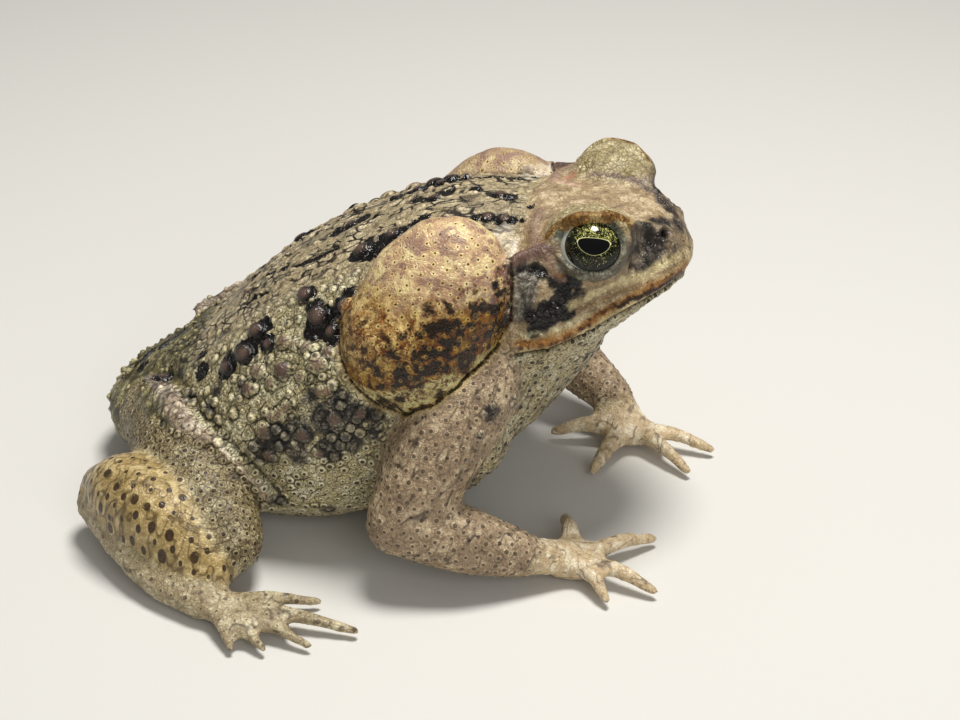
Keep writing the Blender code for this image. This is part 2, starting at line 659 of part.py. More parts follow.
def paint(obj, name, colour, roughness):
    """Names a node and gives it its own plain material."""
    obj.name = name
    obj.data.name = name
    material = bpy.data.materials.new(name)
    material.use_nodes = True
    shader = material.node_tree.nodes["Principled BSDF"]
    shader.inputs["Base Color"].default_value = (*colour, 1)
    shader.inputs["Roughness"].default_value = roughness
    obj.data.materials.clear()
    obj.data.materials.append(material)
    obj.data.polygons.foreach_set("use_smooth", [True] * len(obj.data.polygons))
    obj.data.set_sharp_from_angle(angle=math.radians(40))
    return obj


def main():
    for obj in list(bpy.data.objects):
        bpy.data.objects.remove(obj)
    nodes = build()
    centre_on_floor(nodes)


def centre_on_floor(nodes):
    """Moves all nodes so that the origin is on the floor under the middle of the whole animal."""
    corners = np.array([v.co for obj in nodes for v in obj.data.vertices])
    low, high = corners.min(0), corners.max(0)
    shift = Vector((-(low[0] + high[0]) / 2, -(low[1] + high[1]) / 2, -low[2]))
    print("shift in mm", [round(s / MM, 2) for s in shift])
    for obj in nodes:
        obj.data.transform(Matrix.Translation(shift))


SKIN = (0.32, 0.26, 0.16)
PALE_SKIN = (0.50, 0.45, 0.30)
GLAND = (0.38, 0.24, 0.10)


def build():
    nodes = []
    torso = make_torso()
    head = make_head()
    eyes = {side: make_eye(side) for side in (-1, 1)}
    glands = {side: make_parotoid(side) for side in (-1, 1)}
    boolean(torso, head_room(), "DIFFERENCE")
    neck_cut(head)
    drums = {}
    for side, word in ((-1, "right"), (1, "left")):
        drum_way = mirrored([Vector((0.05, 0.97, 0.12))], side)[0]
        drums[side] = make_disc(mirrored([TYMPANUM_CENTRES[side]], side)[0], drum_way, TYMPANUM_RADIUS, 2.2)
        clear_of(drums[side], glands[side])
        boolean(head, make_opening(side), "DIFFERENCE")
        clear_of(head, eyes[side], glands[side], drums[side])
        nostril = tube(mirrored([Vector((61.6, 11.5, 81.2)), Vector((58.8, 6.0, 78.8))], side), [1.0, 0.7],
                       rings=5, sides=8)
        boolean(head, nostril, "DIFFERENCE")
        clear_of(torso, glands[side])
        nodes.append(paint(eyes[side], f"eye_{word}", (0.02, 0.03, 0.01), 0.1))
        nodes.append(paint(drums[side], f"tympanum_{word}", SKIN, 0.6))
    keep_largest(head)
    boolean(head, mouth_blade(), "DIFFERENCE")
    skull, jaw = sorted(loose_bodies(head)[:2], key=lambda o: -middle_of(o).z)
    nodes.append(paint(skull, "head", SKIN, 0.6))
    nodes.append(paint(jaw, "lower_jaw", PALE_SKIN, 0.6))
    clear_of(torso, jaw, skull)

    arms = {-1: (RIGHT_ARM, RIGHT_FINGERS), 1: (LEFT_ARM, LEFT_FINGERS)}
    legs = {-1: RIGHT_LEG, 1: LEFT_LEG}
    for side, word in ((-1, "right"), (1, "left")):
        joints, ways = arms[side]
        upper, lower, hand = make_arm(joints, side, hand_digits(joints, ways))
        clear_of(upper, torso, glands[side], skull, jaw, gap=WIDE_GAP)
        upper = fused([upper], voxel=0.6, triangles=640, smoothing=1)
        cut_flat(upper, (0, 0, 0), (0, 0, -1))
        clear_of(lower, upper, torso)
        clear_of(hand, lower, torso)
        nodes.append(paint(upper, f"upper_arm_{word}", SKIN, 0.6))
        nodes.append(paint(lower, f"forearm_{word}", SKIN, 0.6))
        nodes.append(paint(hand, f"hand_{word}", SKIN, 0.6))

        thigh, shank = make_leg(legs[side], side)
        foot = make_foot(legs[side], side)
        cut_flat(thigh, (0, 0, 0), (0, 0, -1))
        cut_flat(shank, (0, 0, 0), (0, 0, -1))
        clear_of(thigh, torso)
        clear_of(shank, thigh, torso)
        clear_of(foot, shank, thigh, torso)
        nodes.append(paint(thigh, f"thigh_{word}", SKIN, 0.6))
        nodes.append(paint(shank, f"shank_{word}", SKIN, 0.6))
        nodes.append(paint(foot, f"foot_{word}", SKIN, 0.6))
        nodes.append(paint(glands[side], f"parotoid_{word}", GLAND, 0.5))
    nodes.append(paint(torso, "torso", SKIN, 0.6))
    for obj in nodes:
        print(obj.name, len(obj.data.polygons))
    return nodes


back_top, belly_bottom = profile(BACK_TOP), profile(BELLY_BOTTOM)
body_half_width, body_widest = profile(BODY_HALF_WIDTH), profile(BODY_WIDEST)
head_top, mouth_line, chin_line = profile(HEAD_TOP), profile(MOUTH_LINE), profile(CHIN)
head_half_width = profile(HEAD_HALF_WIDTH)
main()
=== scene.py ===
# %% [markdown]
# A life-size cane toad, as a museum shows it: a cast of painted resin with glass eyes.
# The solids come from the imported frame. This lesson dresses them: one skin over all the flesh,
# with its warts, folds and markings, and two eyes of glass.

# %% Load the frame
import json
import math

import bpy
import numpy as np
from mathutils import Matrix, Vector, kdtree
from mathutils.bvhtree import BVHTree

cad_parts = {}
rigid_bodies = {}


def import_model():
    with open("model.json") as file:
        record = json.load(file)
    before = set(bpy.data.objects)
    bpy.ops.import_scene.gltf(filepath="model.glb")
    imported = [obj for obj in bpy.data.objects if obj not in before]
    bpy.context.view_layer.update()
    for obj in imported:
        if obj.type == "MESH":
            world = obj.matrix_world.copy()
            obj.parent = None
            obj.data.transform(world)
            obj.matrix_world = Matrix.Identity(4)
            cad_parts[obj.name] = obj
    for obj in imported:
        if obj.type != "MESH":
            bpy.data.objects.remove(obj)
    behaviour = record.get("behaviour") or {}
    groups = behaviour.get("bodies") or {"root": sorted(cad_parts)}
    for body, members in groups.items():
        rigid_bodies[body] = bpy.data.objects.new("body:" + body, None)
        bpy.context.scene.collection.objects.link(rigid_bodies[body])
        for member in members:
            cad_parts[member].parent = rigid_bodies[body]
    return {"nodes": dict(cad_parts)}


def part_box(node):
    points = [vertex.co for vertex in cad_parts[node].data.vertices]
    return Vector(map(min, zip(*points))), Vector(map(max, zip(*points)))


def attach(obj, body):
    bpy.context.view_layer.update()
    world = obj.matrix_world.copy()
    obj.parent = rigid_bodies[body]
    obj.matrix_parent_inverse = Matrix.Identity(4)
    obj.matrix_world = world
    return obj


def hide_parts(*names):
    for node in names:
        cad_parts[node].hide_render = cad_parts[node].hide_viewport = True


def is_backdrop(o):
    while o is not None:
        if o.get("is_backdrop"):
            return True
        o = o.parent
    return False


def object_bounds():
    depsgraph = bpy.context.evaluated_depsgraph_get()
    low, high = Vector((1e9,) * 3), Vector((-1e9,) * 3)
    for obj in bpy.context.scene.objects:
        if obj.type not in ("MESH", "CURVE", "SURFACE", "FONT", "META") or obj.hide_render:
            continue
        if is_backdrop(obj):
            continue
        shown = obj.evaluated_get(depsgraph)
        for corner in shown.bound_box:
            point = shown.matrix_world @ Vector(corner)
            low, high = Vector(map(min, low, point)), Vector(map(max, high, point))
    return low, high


for leftover in list(bpy.data.objects):
    bpy.data.objects.remove(leftover)
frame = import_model()
cad_low, cad_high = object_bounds()
MM = 0.001


def in_mm(place):
    return [round(c / MM, 1) for c in place]


print("solids:", len(frame["nodes"]), "from", in_mm(cad_low), "to", in_mm(cad_high))

# %% [markdown]
# Skin has no seams, but the solids are divided at the neck, the joints and the jaw.
# One way to close them is a Boolean union; it leaves the gaps of 0.3 mm open. Here every solid is
# swollen a little, so that the gaps close, then a voxel remesh draws one new skin round all of them,
# and the skin is drawn back in by as much as the solids were swollen.

# %% Gather the solids as one swollen mesh
# All lengths are in millimetres. The eyeballs are swollen less, so that the lids stay crisp.
CLOSING = 0.45
EYE_SWELL = 0.15
VOXEL = 0.68


def rows_of(items, name, width, kind=float):
    """One property of all the items of a mesh, as rows of the given width."""
    values = np.empty(len(items) * width, kind)
    items.foreach_get(name, values)
    return values.reshape(-1, width)


def points_of(mesh):
    return rows_of(mesh.vertices, "co", 3) / MM


def unit(vectors):
    return vectors / np.maximum(np.linalg.norm(vectors, axis=1, keepdims=True), 1e-9)


def normals_of(points, triangles):
    """Smooth normals: each point takes the mean of its faces' normals, weighted by their areas."""
    a, b, c = (points[triangles[:, i]] for i in range(3))
    face = np.cross(b - a, c - a)
    total = np.zeros_like(points)
    for corner in range(3):
        for axis in range(3):
            total[:, axis] += np.bincount(triangles[:, corner], face[:, axis], len(points))
    return unit(total)


node_names = sorted(frame["nodes"])
gathered_points, gathered_faces, gathered_labels, start = [], [], [], 0
for label, name in enumerate(node_names):
    solid = frame["nodes"][name].data
    solid.calc_loop_triangles()
    merged, index = np.unique(np.round(points_of(solid), 4), axis=0, return_inverse=True)
    triangles = index.reshape(-1)[rows_of(solid.loop_triangles, "vertices", 3, np.int32)]
    swell = EYE_SWELL if name.startswith("eye") else CLOSING
    gathered_points.append(merged + normals_of(merged, triangles) * swell)
    gathered_faces.append(triangles + start)
    gathered_labels.append(np.full(len(triangles), label))
    start += len(merged)
gathered_points = np.concatenate(gathered_points)
gathered_faces = np.concatenate(gathered_faces)
gathered_labels = np.concatenate(gathered_labels)
print("gathered", len(gathered_faces), "triangles")

# %% Draw one skin round them
def mesh_object(name, points, faces):
    mesh = bpy.data.meshes.new(name)
    mesh.from_pydata((points * MM).tolist(), [], faces.tolist())
    obj = bpy.data.objects.new(name, mesh)
    bpy.context.scene.collection.objects.link(obj)
    return obj


def apply_modifiers(obj):
    graph = bpy.context.evaluated_depsgraph_get()
    mesh = bpy.data.meshes.new_from_object(obj.evaluated_get(graph))
    obj.modifiers.clear()
    obj.data = mesh


skin = mesh_object("toad_skin", gathered_points, gathered_faces)
remesh = skin.modifiers.new("One skin", "REMESH")
remesh.mode = "VOXEL"
remesh.voxel_size = VOXEL * MM
apply_modifiers(skin)
print("skin drawn with", len(skin.data.vertices), "points")

# %% Keep only the outer surface
def quads_of(mesh):
    return rows_of(mesh.polygons, "vertices", 4, np.int32)


def edges_of(mesh):
    return rows_of(mesh.edges, "vertices", 2, np.int32)


def triangles_of(quads):
    return np.concatenate([quads[:, [0, 1, 2]], quads[:, [0, 2, 3]]])


def outer_shell(points, quads, edges):
    """Spreads the lowest point number over each connected shell, then keeps the largest shell."""
    shell = np.arange(len(points))
    while True:
        low = np.minimum(shell[edges[:, 0]], shell[edges[:, 1]])
        before = shell.copy()
        np.minimum.at(shell, edges[:, 0], low)
        np.minimum.at(shell, edges[:, 1], low)
        shell = shell[shell]
        if (shell == before).all():
            break
    names, counts = np.unique(shell, return_counts=True)
    kept = shell == names[counts.argmax()]
    renumber = np.cumsum(kept) - 1
    return points[kept], renumber[quads[kept[quads[:, 0]]]]


points, quads = outer_shell(points_of(skin.data), quads_of(skin.data), edges_of(skin.data))
bpy.data.objects.remove(skin)
skin = mesh_object("toad_skin", points, quads)
print("outer surface:", len(points), "points")

# %% [markdown]
# The solids are faceted. A soft smoothing that may move a point only about half a millimetre takes
# the facets away and leaves the lids, ridges and folds. Where two parts of one limb meet, the
# skin may move further, so that the neck, shoulders, elbows and ankles flow.

# %% Name each point by the solid under it
solids = BVHTree.FromPolygons(gathered_points.tolist(), gathered_faces.tolist())
nearest = np.array([solids.find_nearest(p)[2] for p in points.tolist()])
labels = gathered_labels[nearest]
edges = edges_of(skin.data)
degree = np.bincount(edges.ravel(), minlength=len(points))


def spread(values, rounds, share=1.0):
    """Moves each point's values towards the mean of its neighbours', round after round."""
    values = np.array(values, float)
    columns = values.reshape(len(values), -1)
    for _ in range(rounds):
        for k in range(columns.shape[1]):
            total = (np.bincount(edges[:, 0], columns[edges[:, 1], k], len(columns))
                     + np.bincount(edges[:, 1], columns[edges[:, 0], k], len(columns)))
            columns[:, k] += share * (total / degree - columns[:, k])
    return values


def region(*words):
    """1 where the solid under the skin has a name that starts with one of the words, else 0."""
    chosen = [i for i, name in enumerate(node_names) if name.startswith(words)]
    return np.isin(labels, chosen).astype(float)


MEETINGS = (("head", "torso"), ("lower_jaw", "torso"), ("torso", "upper_arm"),
            ("upper_arm", "forearm"), ("forearm", "hand"), ("shank", "foot"), ("thigh", "torso"),
            ("tympanum", "head"), ("lower_jaw", "upper_arm"))
MEETING_ROUNDS, MEETING_GAIN = 8, 3.2
flowing = np.zeros(len(points))
for meeting in MEETINGS:
    first, second = (spread(region(word), MEETING_ROUNDS) for word in meeting)
    flowing = np.maximum(flowing, np.clip(np.minimum(first, second) * MEETING_GAIN, 0, 1))
print("joints smoothed over", round(flowing.mean() * 100), "% of the skin")

# %% Smooth the facets away
FACET_MOVE = 0.5
JOINT_MOVE = 2.6
FACET_ROUNDS, FACET_SHARE = 30, 0.6
LAST_ROUNDS, LAST_SHARE = 3, 0.5


def moved_at_most(start, goal, limit):
    move = goal - start
    length = np.linalg.norm(move, axis=1, keepdims=True)
    return start + move * limit / np.sqrt(limit ** 2 + length ** 2)


points = points - normals_of(points, triangles_of(quads)) * CLOSING
limit = (FACET_MOVE + (JOINT_MOVE - FACET_MOVE) * flowing)[:, None]
points = moved_at_most(points, spread(points, FACET_ROUNDS, FACET_SHARE), limit)
points = spread(points, LAST_ROUNDS, LAST_SHARE)
print("smooth skin:", [round(v) for v in points.min(0)], "to", [round(v) for v in points.max(0)])

# %% Store the regions, then make the mesh finer
REGIONS = {"head": ("head", "tympanum"), "jaw": ("lower_jaw",), "gland": ("parotoid",),
           "torso": ("torso",), "arm": ("upper_arm", "forearm"), "hand": ("hand",),
           "thigh": ("thigh",), "shank": ("shank",), "foot": ("foot",)}
BORDER_ROUNDS = 5


def store(mesh, name, values):
    """Keeps a number or a vector for each point of a mesh, under a name that paint can read."""
    kind, part = ("FLOAT_VECTOR", "vector") if np.ndim(values) == 2 else ("FLOAT", "value")
    attribute = mesh.attributes.get(name) or mesh.attributes.new(name, kind, "POINT")
    attribute.data.foreach_set(part, np.asarray(values, np.float32).ravel())


def stored(mesh, name):
    """The numbers kept under a name."""
    return rows_of(mesh.attributes[name].data, "value", 1, np.float32)[:, 0].astype(float)


def move_points(mesh, places):
    mesh.vertices.foreach_set("co", (places * MM).astype(np.float32).ravel())


move_points(skin.data, points)
for name, words in REGIONS.items():
    store(skin.data, name, spread(region(*words), BORDER_ROUNDS))
finer = skin.modifiers.new("Finer", "SUBSURF")
finer.levels = finer.render_levels = 1
apply_modifiers(skin)
rest = points_of(skin.data)
quads = quads_of(skin.data)
edges = edges_of(skin.data)
degree = np.bincount(edges.ravel(), minlength=len(rest))
facing = normals_of(rest, triangles_of(quads))
masks = {name: stored(skin.data, name) for name in REGIONS}
x, y, z = rest.T
print("fine skin:", len(rest), "points,", len(quads), "faces")

# %% Noise and soft steps
def lattice(cells, seed):
    """A random number from 0 to 1 for each whole-numbered cell."""
    h = cells[:, 0] * 374761393 + cells[:, 1] * 668265263 + cells[:, 2] * 2147483647 + seed * 974634777
    h = (h ^ (h >> 13)) * 1274126177
    return ((h ^ (h >> 16)) & 0xFFFF) / 65535.0


def noise(size, seed=0, places=None):
    """Smooth noise from -1 to 1 whose lumps are about size millimetres across."""
    place = (rest if places is None else places) / size
    corner = np.floor(place).astype(np.int64)
    part = place - corner
    part = part * part * (3 - 2 * part)
    total = np.zeros(len(place))
    for dx in (0, 1):
        for dy in (0, 1):
            for dz in (0, 1):
                share = np.abs(np.array([1 - dx, 1 - dy, 1 - dz]) - part).prod(axis=1)
                total += share * lattice(corner + np.array([dx, dy, dz]), seed)
    return total * 2 - 1


def soft(low, high, values):
    """0 up to low, 1 from high on and soft between; low may be above high."""
    t = np.clip((values - low) / (high - low), 0, 1)
    return t * t * (3 - 2 * t)


CREASE_STRETCH = 0.72


def creases(long_way, size, seed, width=0.16):
    """Thin lines mostly along long_way: they lie where a stretched noise passes through nought."""
    way = np.array(long_way, float) / np.linalg.norm(long_way)
    flattened = rest - np.outer(rest @ way, way) * CREASE_STRETCH
    return np.exp(-(noise(size, seed, flattened) / width) ** 2)


# Every pattern is looked up at a slightly bent place, so that no cell has straight sides.
BEND_SIZE, BEND_BY = 4.0, 0.9
place = rest + np.stack([noise(BEND_SIZE, seed) for seed in (1, 2, 3)], 1) * BEND_BY
store(skin.data, "place", place)
print("noise ready")

# %% [markdown]
# Cracks, granules and mottling repeat all over a toad, so they come from cell and noise patterns.
# Geometry nodes measure each pattern at every point of the skin to shape it, and the paint reads
# the very same patterns afterwards, so that a dark line always lies in its own crack.

# %% One function adds a node
def add_node(kind, sockets=(), output=0, **settings):
    """Adds a node to the tree in hand, gives its inputs values or links, and returns an output."""
    node = tree.nodes.new(kind)
    for name, value in settings.items():
        setattr(node, name, value)
    for name, value in sockets.items() if isinstance(sockets, dict) else enumerate(sockets):
        if isinstance(value, bpy.types.NodeSocket):
            tree.links.new(value, node.inputs[name])
        else:
            node.inputs[name].default_value = value
    return node.outputs[output] if node.outputs else None


# Cell patterns: spacing in millimetres, looseness, and how much each axis is pressed together.
CELLS = {"grain": (0.95, 0.85, (1, 1, 1)), "net": (1.9, 0.95, (1, 1, 1)),
         "flake": (2.6, 1.0, (0.45, 1, 1))}
# Noise patterns: size of the lumps in millimetres, octaves of detail, and a shift that tells
# patterns of one size apart.
NOISES = {"ragged": (1.5, 3.0, 0), "mottle": (4.5, 3.0, 0), "veins": (3.6, 3.0, 0)}
SHIFT_WAY = np.array((1, 1.7, 0.3))


def patterns(place, cells, noises):
    """Adds cell and noise patterns to the tree in hand and returns their outputs by name."""
    found = {}
    for name, (spacing, loose, press) in cells.items():
        scale = [p / spacing for p in press]
        pressed = add_node("ShaderNodeVectorMath", (place, scale), operation="MULTIPLY")
        for ending, feature in (("_far", "F1"), ("_edge", "DISTANCE_TO_EDGE")):
            found[name + ending] = add_node(
                "ShaderNodeTexVoronoi", {"Vector": pressed, "Scale": 1.0, "Randomness": loose},
                "Distance", feature=feature)
    for name, (size, detail, shift) in noises.items():
        moved = add_node("ShaderNodeVectorMath", (place, shift * SHIFT_WAY), operation="ADD")
        found[name] = add_node("ShaderNodeTexNoise", {"Vector": moved, "Scale": 1 / size,
                                                      "Detail": detail, "Roughness": 0.62})
    return found


tree = bpy.data.node_groups.new("Measure patterns", "GeometryNodeTree")
for way in ("INPUT", "OUTPUT"):
    tree.interface.new_socket("Geometry", in_out=way, socket_type="NodeSocketGeometry")
flow = add_node("NodeGroupInput")
here = add_node("GeometryNodeInputNamedAttribute", {"Name": "place"}, data_type="FLOAT_VECTOR")
for name, value in patterns(here, CELLS, NOISES).items():
    stored_here = {"Geometry": flow, "Name": "p_" + name, "Value": value}
    flow = add_node("GeometryNodeStoreNamedAttribute", stored_here, data_type="FLOAT", domain="POINT")
add_node("NodeGroupOutput", (flow,))
skin.modifiers.new("Measure", "NODES").node_group = tree
apply_modifiers(skin)
pattern = {}
for attribute in [a.name for a in skin.data.attributes if a.name.startswith("p_")]:
    pattern[attribute[2:]] = stored(skin.data, attribute)
    skin.data.attributes.remove(skin.data.attributes[attribute])
print({name: round(float(values.mean()), 2) for name, values in pattern.items()})

# %% [markdown]
# A real toad is marked in patches, not in a repeat. Each mark below is a row of balls, given as x,
# y, z and radius in millimetres; a joined row makes a stroke. What counts is how deep a point of
# the skin lies inside them. The far side gets the same marks, mirrored and shifted a little.

# %% Depth inside a mark
# The toad's middle line lies at this y. Depths are worked out up to REACH millimetres away and are
# FAR_OUT beyond it. A mark that slips backwards on the far side also sinks, by this share.
MIDDLE = 0.5
REACH = 7
FAR_OUT = -9.0
SINK = 0.3


def placed(mark_x, mark_y, mark_z, side, slip):
    """A mark's place on the near side, 1, or mirrored and slipped on the far side, -1."""
    shift = 0 if side == 1 else slip
    return [mark_x - shift, MIDDLE + (mark_y - MIDDLE) * side, mark_z - SINK * shift]


def depth_in(balls, joined=False, mirror=True, slip=0.0):
    """Depth in millimetres inside balls or a stroke; points outside get minus their distance."""
    depth = np.full(len(rest), FAR_OUT)
    for side in (1, -1) if mirror else (1,):
        row = [np.array(placed(*ball[:3], side, slip) + [ball[3]]) for ball in balls]
        for start, end in zip(row[:-1], row[1:]) if joined else zip(row, row):
            low = np.minimum(start[:3], end[:3]) - REACH
            high = np.maximum(start[:3], end[:3]) + REACH
            near = np.flatnonzero(((rest > low) & (rest < high)).all(axis=1))
            along = end - start
            offset = rest[near] - start[:3]
            t = np.clip(offset @ along[:3] / max(along[:3] @ along[:3], 1e-6), 0, 1)
            away = np.linalg.norm(offset - t[:, None] * along[:3], axis=1)
            depth[near] = np.maximum(depth[near], start[3] + along[3] * t - away)
    return depth


def ragged(depth, amount=1.6, edge=0.35):
    """1 inside a mark and 0 outside, with a ragged edge."""
    return soft(-edge, edge, depth + (pattern["ragged"] - 0.5) * 2 * amount)


BLACK_PATCHES = [
    (-17, -25, 65, 2.8), (-14, -29, 64, 2.8), (-11, -32, 61, 4.2), (-5, -31, 65, 3.8),
    (-5, -28, 67, 2.4), (-7, -35, 60, 3.2), (-13, -33, 59, 2.6), (-28, -28, 55, 3.6),
    (-25, -32, 54, 2.6), (-31, -32, 51, 3.6), (-35, -30, 46, 3.4), (-36, -31, 44, 2.6),
    (-47, -21, 41, 2.6), (-44, -26, 40, 2.6), (-58, -18, 32, 2.5), (22, -11, 82, 1.4),
    (25, -11, 82, 1.9), (28, -11, 82, 1.9), (30.5, -11, 82, 1.6), (33, -11.5, 83, 1.0),
]
BACK_PATCHES = [
    (-61, 3, 33, 2.2), (-64, 1, 31, 2.8), (-69, 1, 28, 2.6), (-68, -6, 27, 2.2), (-71, -2, 26, 2.0),
    (-25, 12, 63, 2.4), (-28, 11, 61, 2.7), (-31, 10, 59, 2.4), (-33, 9, 57, 1.8), (-15, -2, 70, 2.3),
    (-12, -1, 72, 2.5), (-9, 0, 73, 2.2), (-5, -3, 76, 1.1), (-39, 3, 53, 1.6), (-31, -8, 60, 1.3),
    (-27, -9, 62, 1.1), (-6, -17, 72, 2.3), (-4, -14, 74, 2.2), (0, -14, 76, 2.0), (4, -14, 78, 2.0),
    (7, -12, 79.5, 1.7), (9, -10, 80, 1.6), (-1, -18, 74, 2.0), (2, -18, 77, 1.5), (-1, 7, 77, 2.0),
    (2, 8, 78, 2.4), (5, 8, 79, 2.5), (8, 9, 80, 2.6), (11, 10, 81, 2.2), (14, 11, 82, 1.8),
    (12, 1, 82, 2.1), (9, -1, 81, 2.2), (5, 0, 80, 1.8), (19, 2, 83, 1.7), (6, 10, 79, 3.0),
    (2, 9, 78, 2.8), (10, 12, 80.5, 2.8), (-3, 8, 76.5, 2.2), (-3, -18, 73.5, 2.6), (0, -17, 75.5, 2.6),
    (3, -16, 77.5, 2.2), (25, -1, 84, 1.9), (28, -2, 84, 1.6), (34, -6, 84, 0.9), (25, 20, 83, 1.7),
    (28, 19, 81, 2.2), (31, 16, 81, 1.5), (5, 15, 79, 1.8), (9, 17, 80, 1.8),
]
BACK_STREAKS = [[(-24, -11, 64, 0.8), (-18, -12, 67, 1.0), (-12, -11, 70, 0.8)],
                [(-8, 6, 75, 0.6), (-14, 7, 72, 0.9), (-20, 8, 68, 0.6)],
                [(-40, -14, 51, 0.6), (-33, -14, 56, 0.9), (-27, -16, 59, 0.6)],
                [(-46, 8, 45, 0.7), (-40, 9, 50, 1.0), (-36, 9, 54, 0.6)]]
CHEEK_BLACK = [
    (41, -27, 77, 1.3), (44, -27, 75, 1.5), (46, -25.5, 75, 1.7), (48.5, -25.5, 75, 1.5),
    (49.5, -26, 72, 1.3), (46, -26.5, 72, 2.0), (45, -27.5, 70, 2.0), (47, -28, 68, 2.0),
    (45, -29, 68, 2.0), (43, -29.5, 67, 2.2), (41, -30, 65, 2.1), (39, -29.5, 67, 1.5),
    (42, -28.5, 69, 1.6), (39.5, -30.5, 63, 1.2), (39, -26.5, 78, 1.2), (36, -27, 78.5, 1.1),
    (33, -29, 78, 1.1), (32, -31, 79, 0.9), (31.5, -33, 76, 1.0), (32, -34, 73, 1.0),
    (32, -34, 69, 1.0), (32, -33, 64, 0.9),
]
SNOUT_DARK = [
    (62, -12, 82.5, 3.6), (64, -11, 79, 4.2), (63, -15, 77.5, 3.6), (66, -6, 81.5, 3.0),
    (68.5, -2, 80, 2.4), (61, -17, 81, 3.0), (67.5, -8, 77.5, 2.6), (60.5, -18.5, 77.5, 2.2),
]
CHEEK_PALE = [
    (42, -27.5, 72, 1.5), (38.3, -26, 75, 1.7), (43, -30.3, 63, 1.1),
]
NOSTRIL_PATCH = [
    (63, -9.5, 84, 1.9), (64, -5, 82.5, 1.6), (66, -3, 81.5, 1.6), (69, 0, 80, 1.5),
    (70, -0.5, 79, 1.1), (63, -10.5, 81.5, 2.2), (66, -9.5, 80.5, 2.0), (64, -12.5, 79, 2.3),
    (66, -11, 78, 1.6), (64, -15, 77, 1.9), (63, -17, 76, 1.5), (66, -13, 77, 1.3),
    (61, -15.5, 86, 1.3), (59.5, -18, 85, 1.2), (61.5, -16, 80, 1.5),
]
FLANK_DARK = [
    (-23, -44, 31, 3.8), (-19, -44, 35, 3.8), (-14, -45, 38, 4.0), (-7, -44, 42, 4.4),
    (-1, -43, 44, 3.8), (4, -42, 44, 3.0), (9, -41, 45, 2.4), (-6, -45, 34, 3.6), (-2, -44, 36, 3.3),
    (-14, -45, 32, 3.2), (4, -43, 39, 2.2), (-11, -43, 47, 2.2), (-4, -43, 47, 2.8),
    (-21, -43, 16, 2.2), (-9, -39, 13, 2.2), (-39, -35, 36, 1.8), (-46, -30, 35, 1.8),
    (-8, -37, 56, 1.4), (-19, -39, 51, 1.9), (-30, -38, 44, 2.0), (-38, -34, 40, 1.8),
    (32, -41, 47, 2.2), (37, -35, 46, 1.9), (42, -25, 50, 1.2), (30, -44, 42, 1.2), (39, -14, 38, 1.5),
    (34, 2, 32, 1.4),
]
FLANK_FOLD = [
    (-61, -18, 33, 2.2), (-55, -25, 33, 2.4), (-50, -32, 33, 2.6), (-44, -39, 31, 2.6),
    (-39, -42, 30, 2.6), (-34, -45, 27, 2.6), (-30, -46, 24, 2.4), (-27, -45, 21, 2.2),
    (-24, -44, 17, 2.0),
]
PATCH_SLIP, FLANK_SLIP = 2.2, 1.5
# The far side of the rump stays free of black: beyond this y and behind this x.
CLEAR_SIDE, CLEAR_BEHIND, CLEAR_DEPTH = 6, -50, -5.0
black = np.maximum(depth_in(BLACK_PATCHES, slip=PATCH_SLIP), depth_in(BACK_PATCHES, mirror=False))
for streak in BACK_STREAKS:
    black = np.maximum(black, depth_in(streak, joined=True, mirror=False))
black = np.where((y > CLEAR_SIDE) & (x < CLEAR_BEHIND), CLEAR_DEPTH, black)
cheek = np.minimum(depth_in(CHEEK_BLACK), 0.4 - depth_in(CHEEK_PALE))
fold = depth_in(FLANK_FOLD, joined=True)
in_black = ragged(black, 1.5) * (1 - masks["gland"])
in_cheek = ragged(cheek + 0.45, 1.0)
in_nose = ragged(depth_in(NOSTRIL_PATCH), 1.6, 0.7)
near_nose = 0.85 * ragged(depth_in(SNOUT_DARK), 2.2, 2.0)
in_dusky = ragged(depth_in(FLANK_DARK, slip=FLANK_SLIP), 2.4, 0.9) * (1 - 0.1 * masks["arm"])
in_fold = soft(-1.2, 0.6, fold)
print("dark patches cover", round(float(in_black.mean() * 100), 1), "% of the skin")

# %% [markdown]
# Each part of the skin has its own look, from the cobbled flank to the glossy shank. A look is four
# paints, for the creases, the ground, its light flecks and the tops of the warts, and the numbers
# that place and shape the warts. The crease paint is also painted shade in the hollows of the relief,
# and the fleck paint painted highlight on its bumps. Looks are laid over each other in order, with
# soft borders.

# %% Where each look lies
up = facing[:, 2]
torso = masks["torso"]
aside = np.abs(y - MIDDLE)
under = soft(-0.45, -0.9, up)
back_line = torso * soft(29, 17, aside) * soft(-66, -40, x + 0.4 * z)
low_flank = torso * soft(38, 31, z + 0.25 * np.abs(x + 12) - 0.35 * (x + 12))
belly = np.clip(torso * np.maximum(soft(17, 8, z), under), 0, 1)
rump = torso * soft(-42, -52, x + 0.35 * (z - 30))
chest = torso * soft(20, 28, x) * soft(60, 50, z)
face = np.clip(masks["head"] + masks["jaw"], 0, 1)
MOUTH = [(32.0, 57.6), (35, 56.8), (43.3, 58.9), (50, 61.9), (55, 64.4), (58, 65.9), (62, 67.4),
         (66, 68.4), (73, 70.0)]
from_mouth = z - np.interp(x, *zip(*MOUTH))
face_front = face * soft(33.0, 37.0, x)
LID_MIDDLE, LID_HALVES = (49.5, 17), (12, 10.5)
from_lid = np.hypot((x - LID_MIDDLE[0]) / LID_HALVES[0], (aside - LID_MIDDLE[1]) / LID_HALVES[1])
lid_tops = masks["head"] * soft(1.15, 0.75, from_lid) * soft(83.5, 86, z)
loreal = soft(56, 59, x) * soft(66.5, 63.5, x) * soft(71.5, 74, z) * soft(86.5, 83.5, z)
EAR_DRUM = [(37, -28, 76, 3.4), (36.5, -29.5, 71.5, 4.0), (35.5, -30.5, 67, 2.4)]
ear = ragged(depth_in(EAR_DRUM, joined=True), 1.6, 1.0)
gland = masks["gland"]
gland_front = soft(10, 25, x + 0.7 * (70 - z))
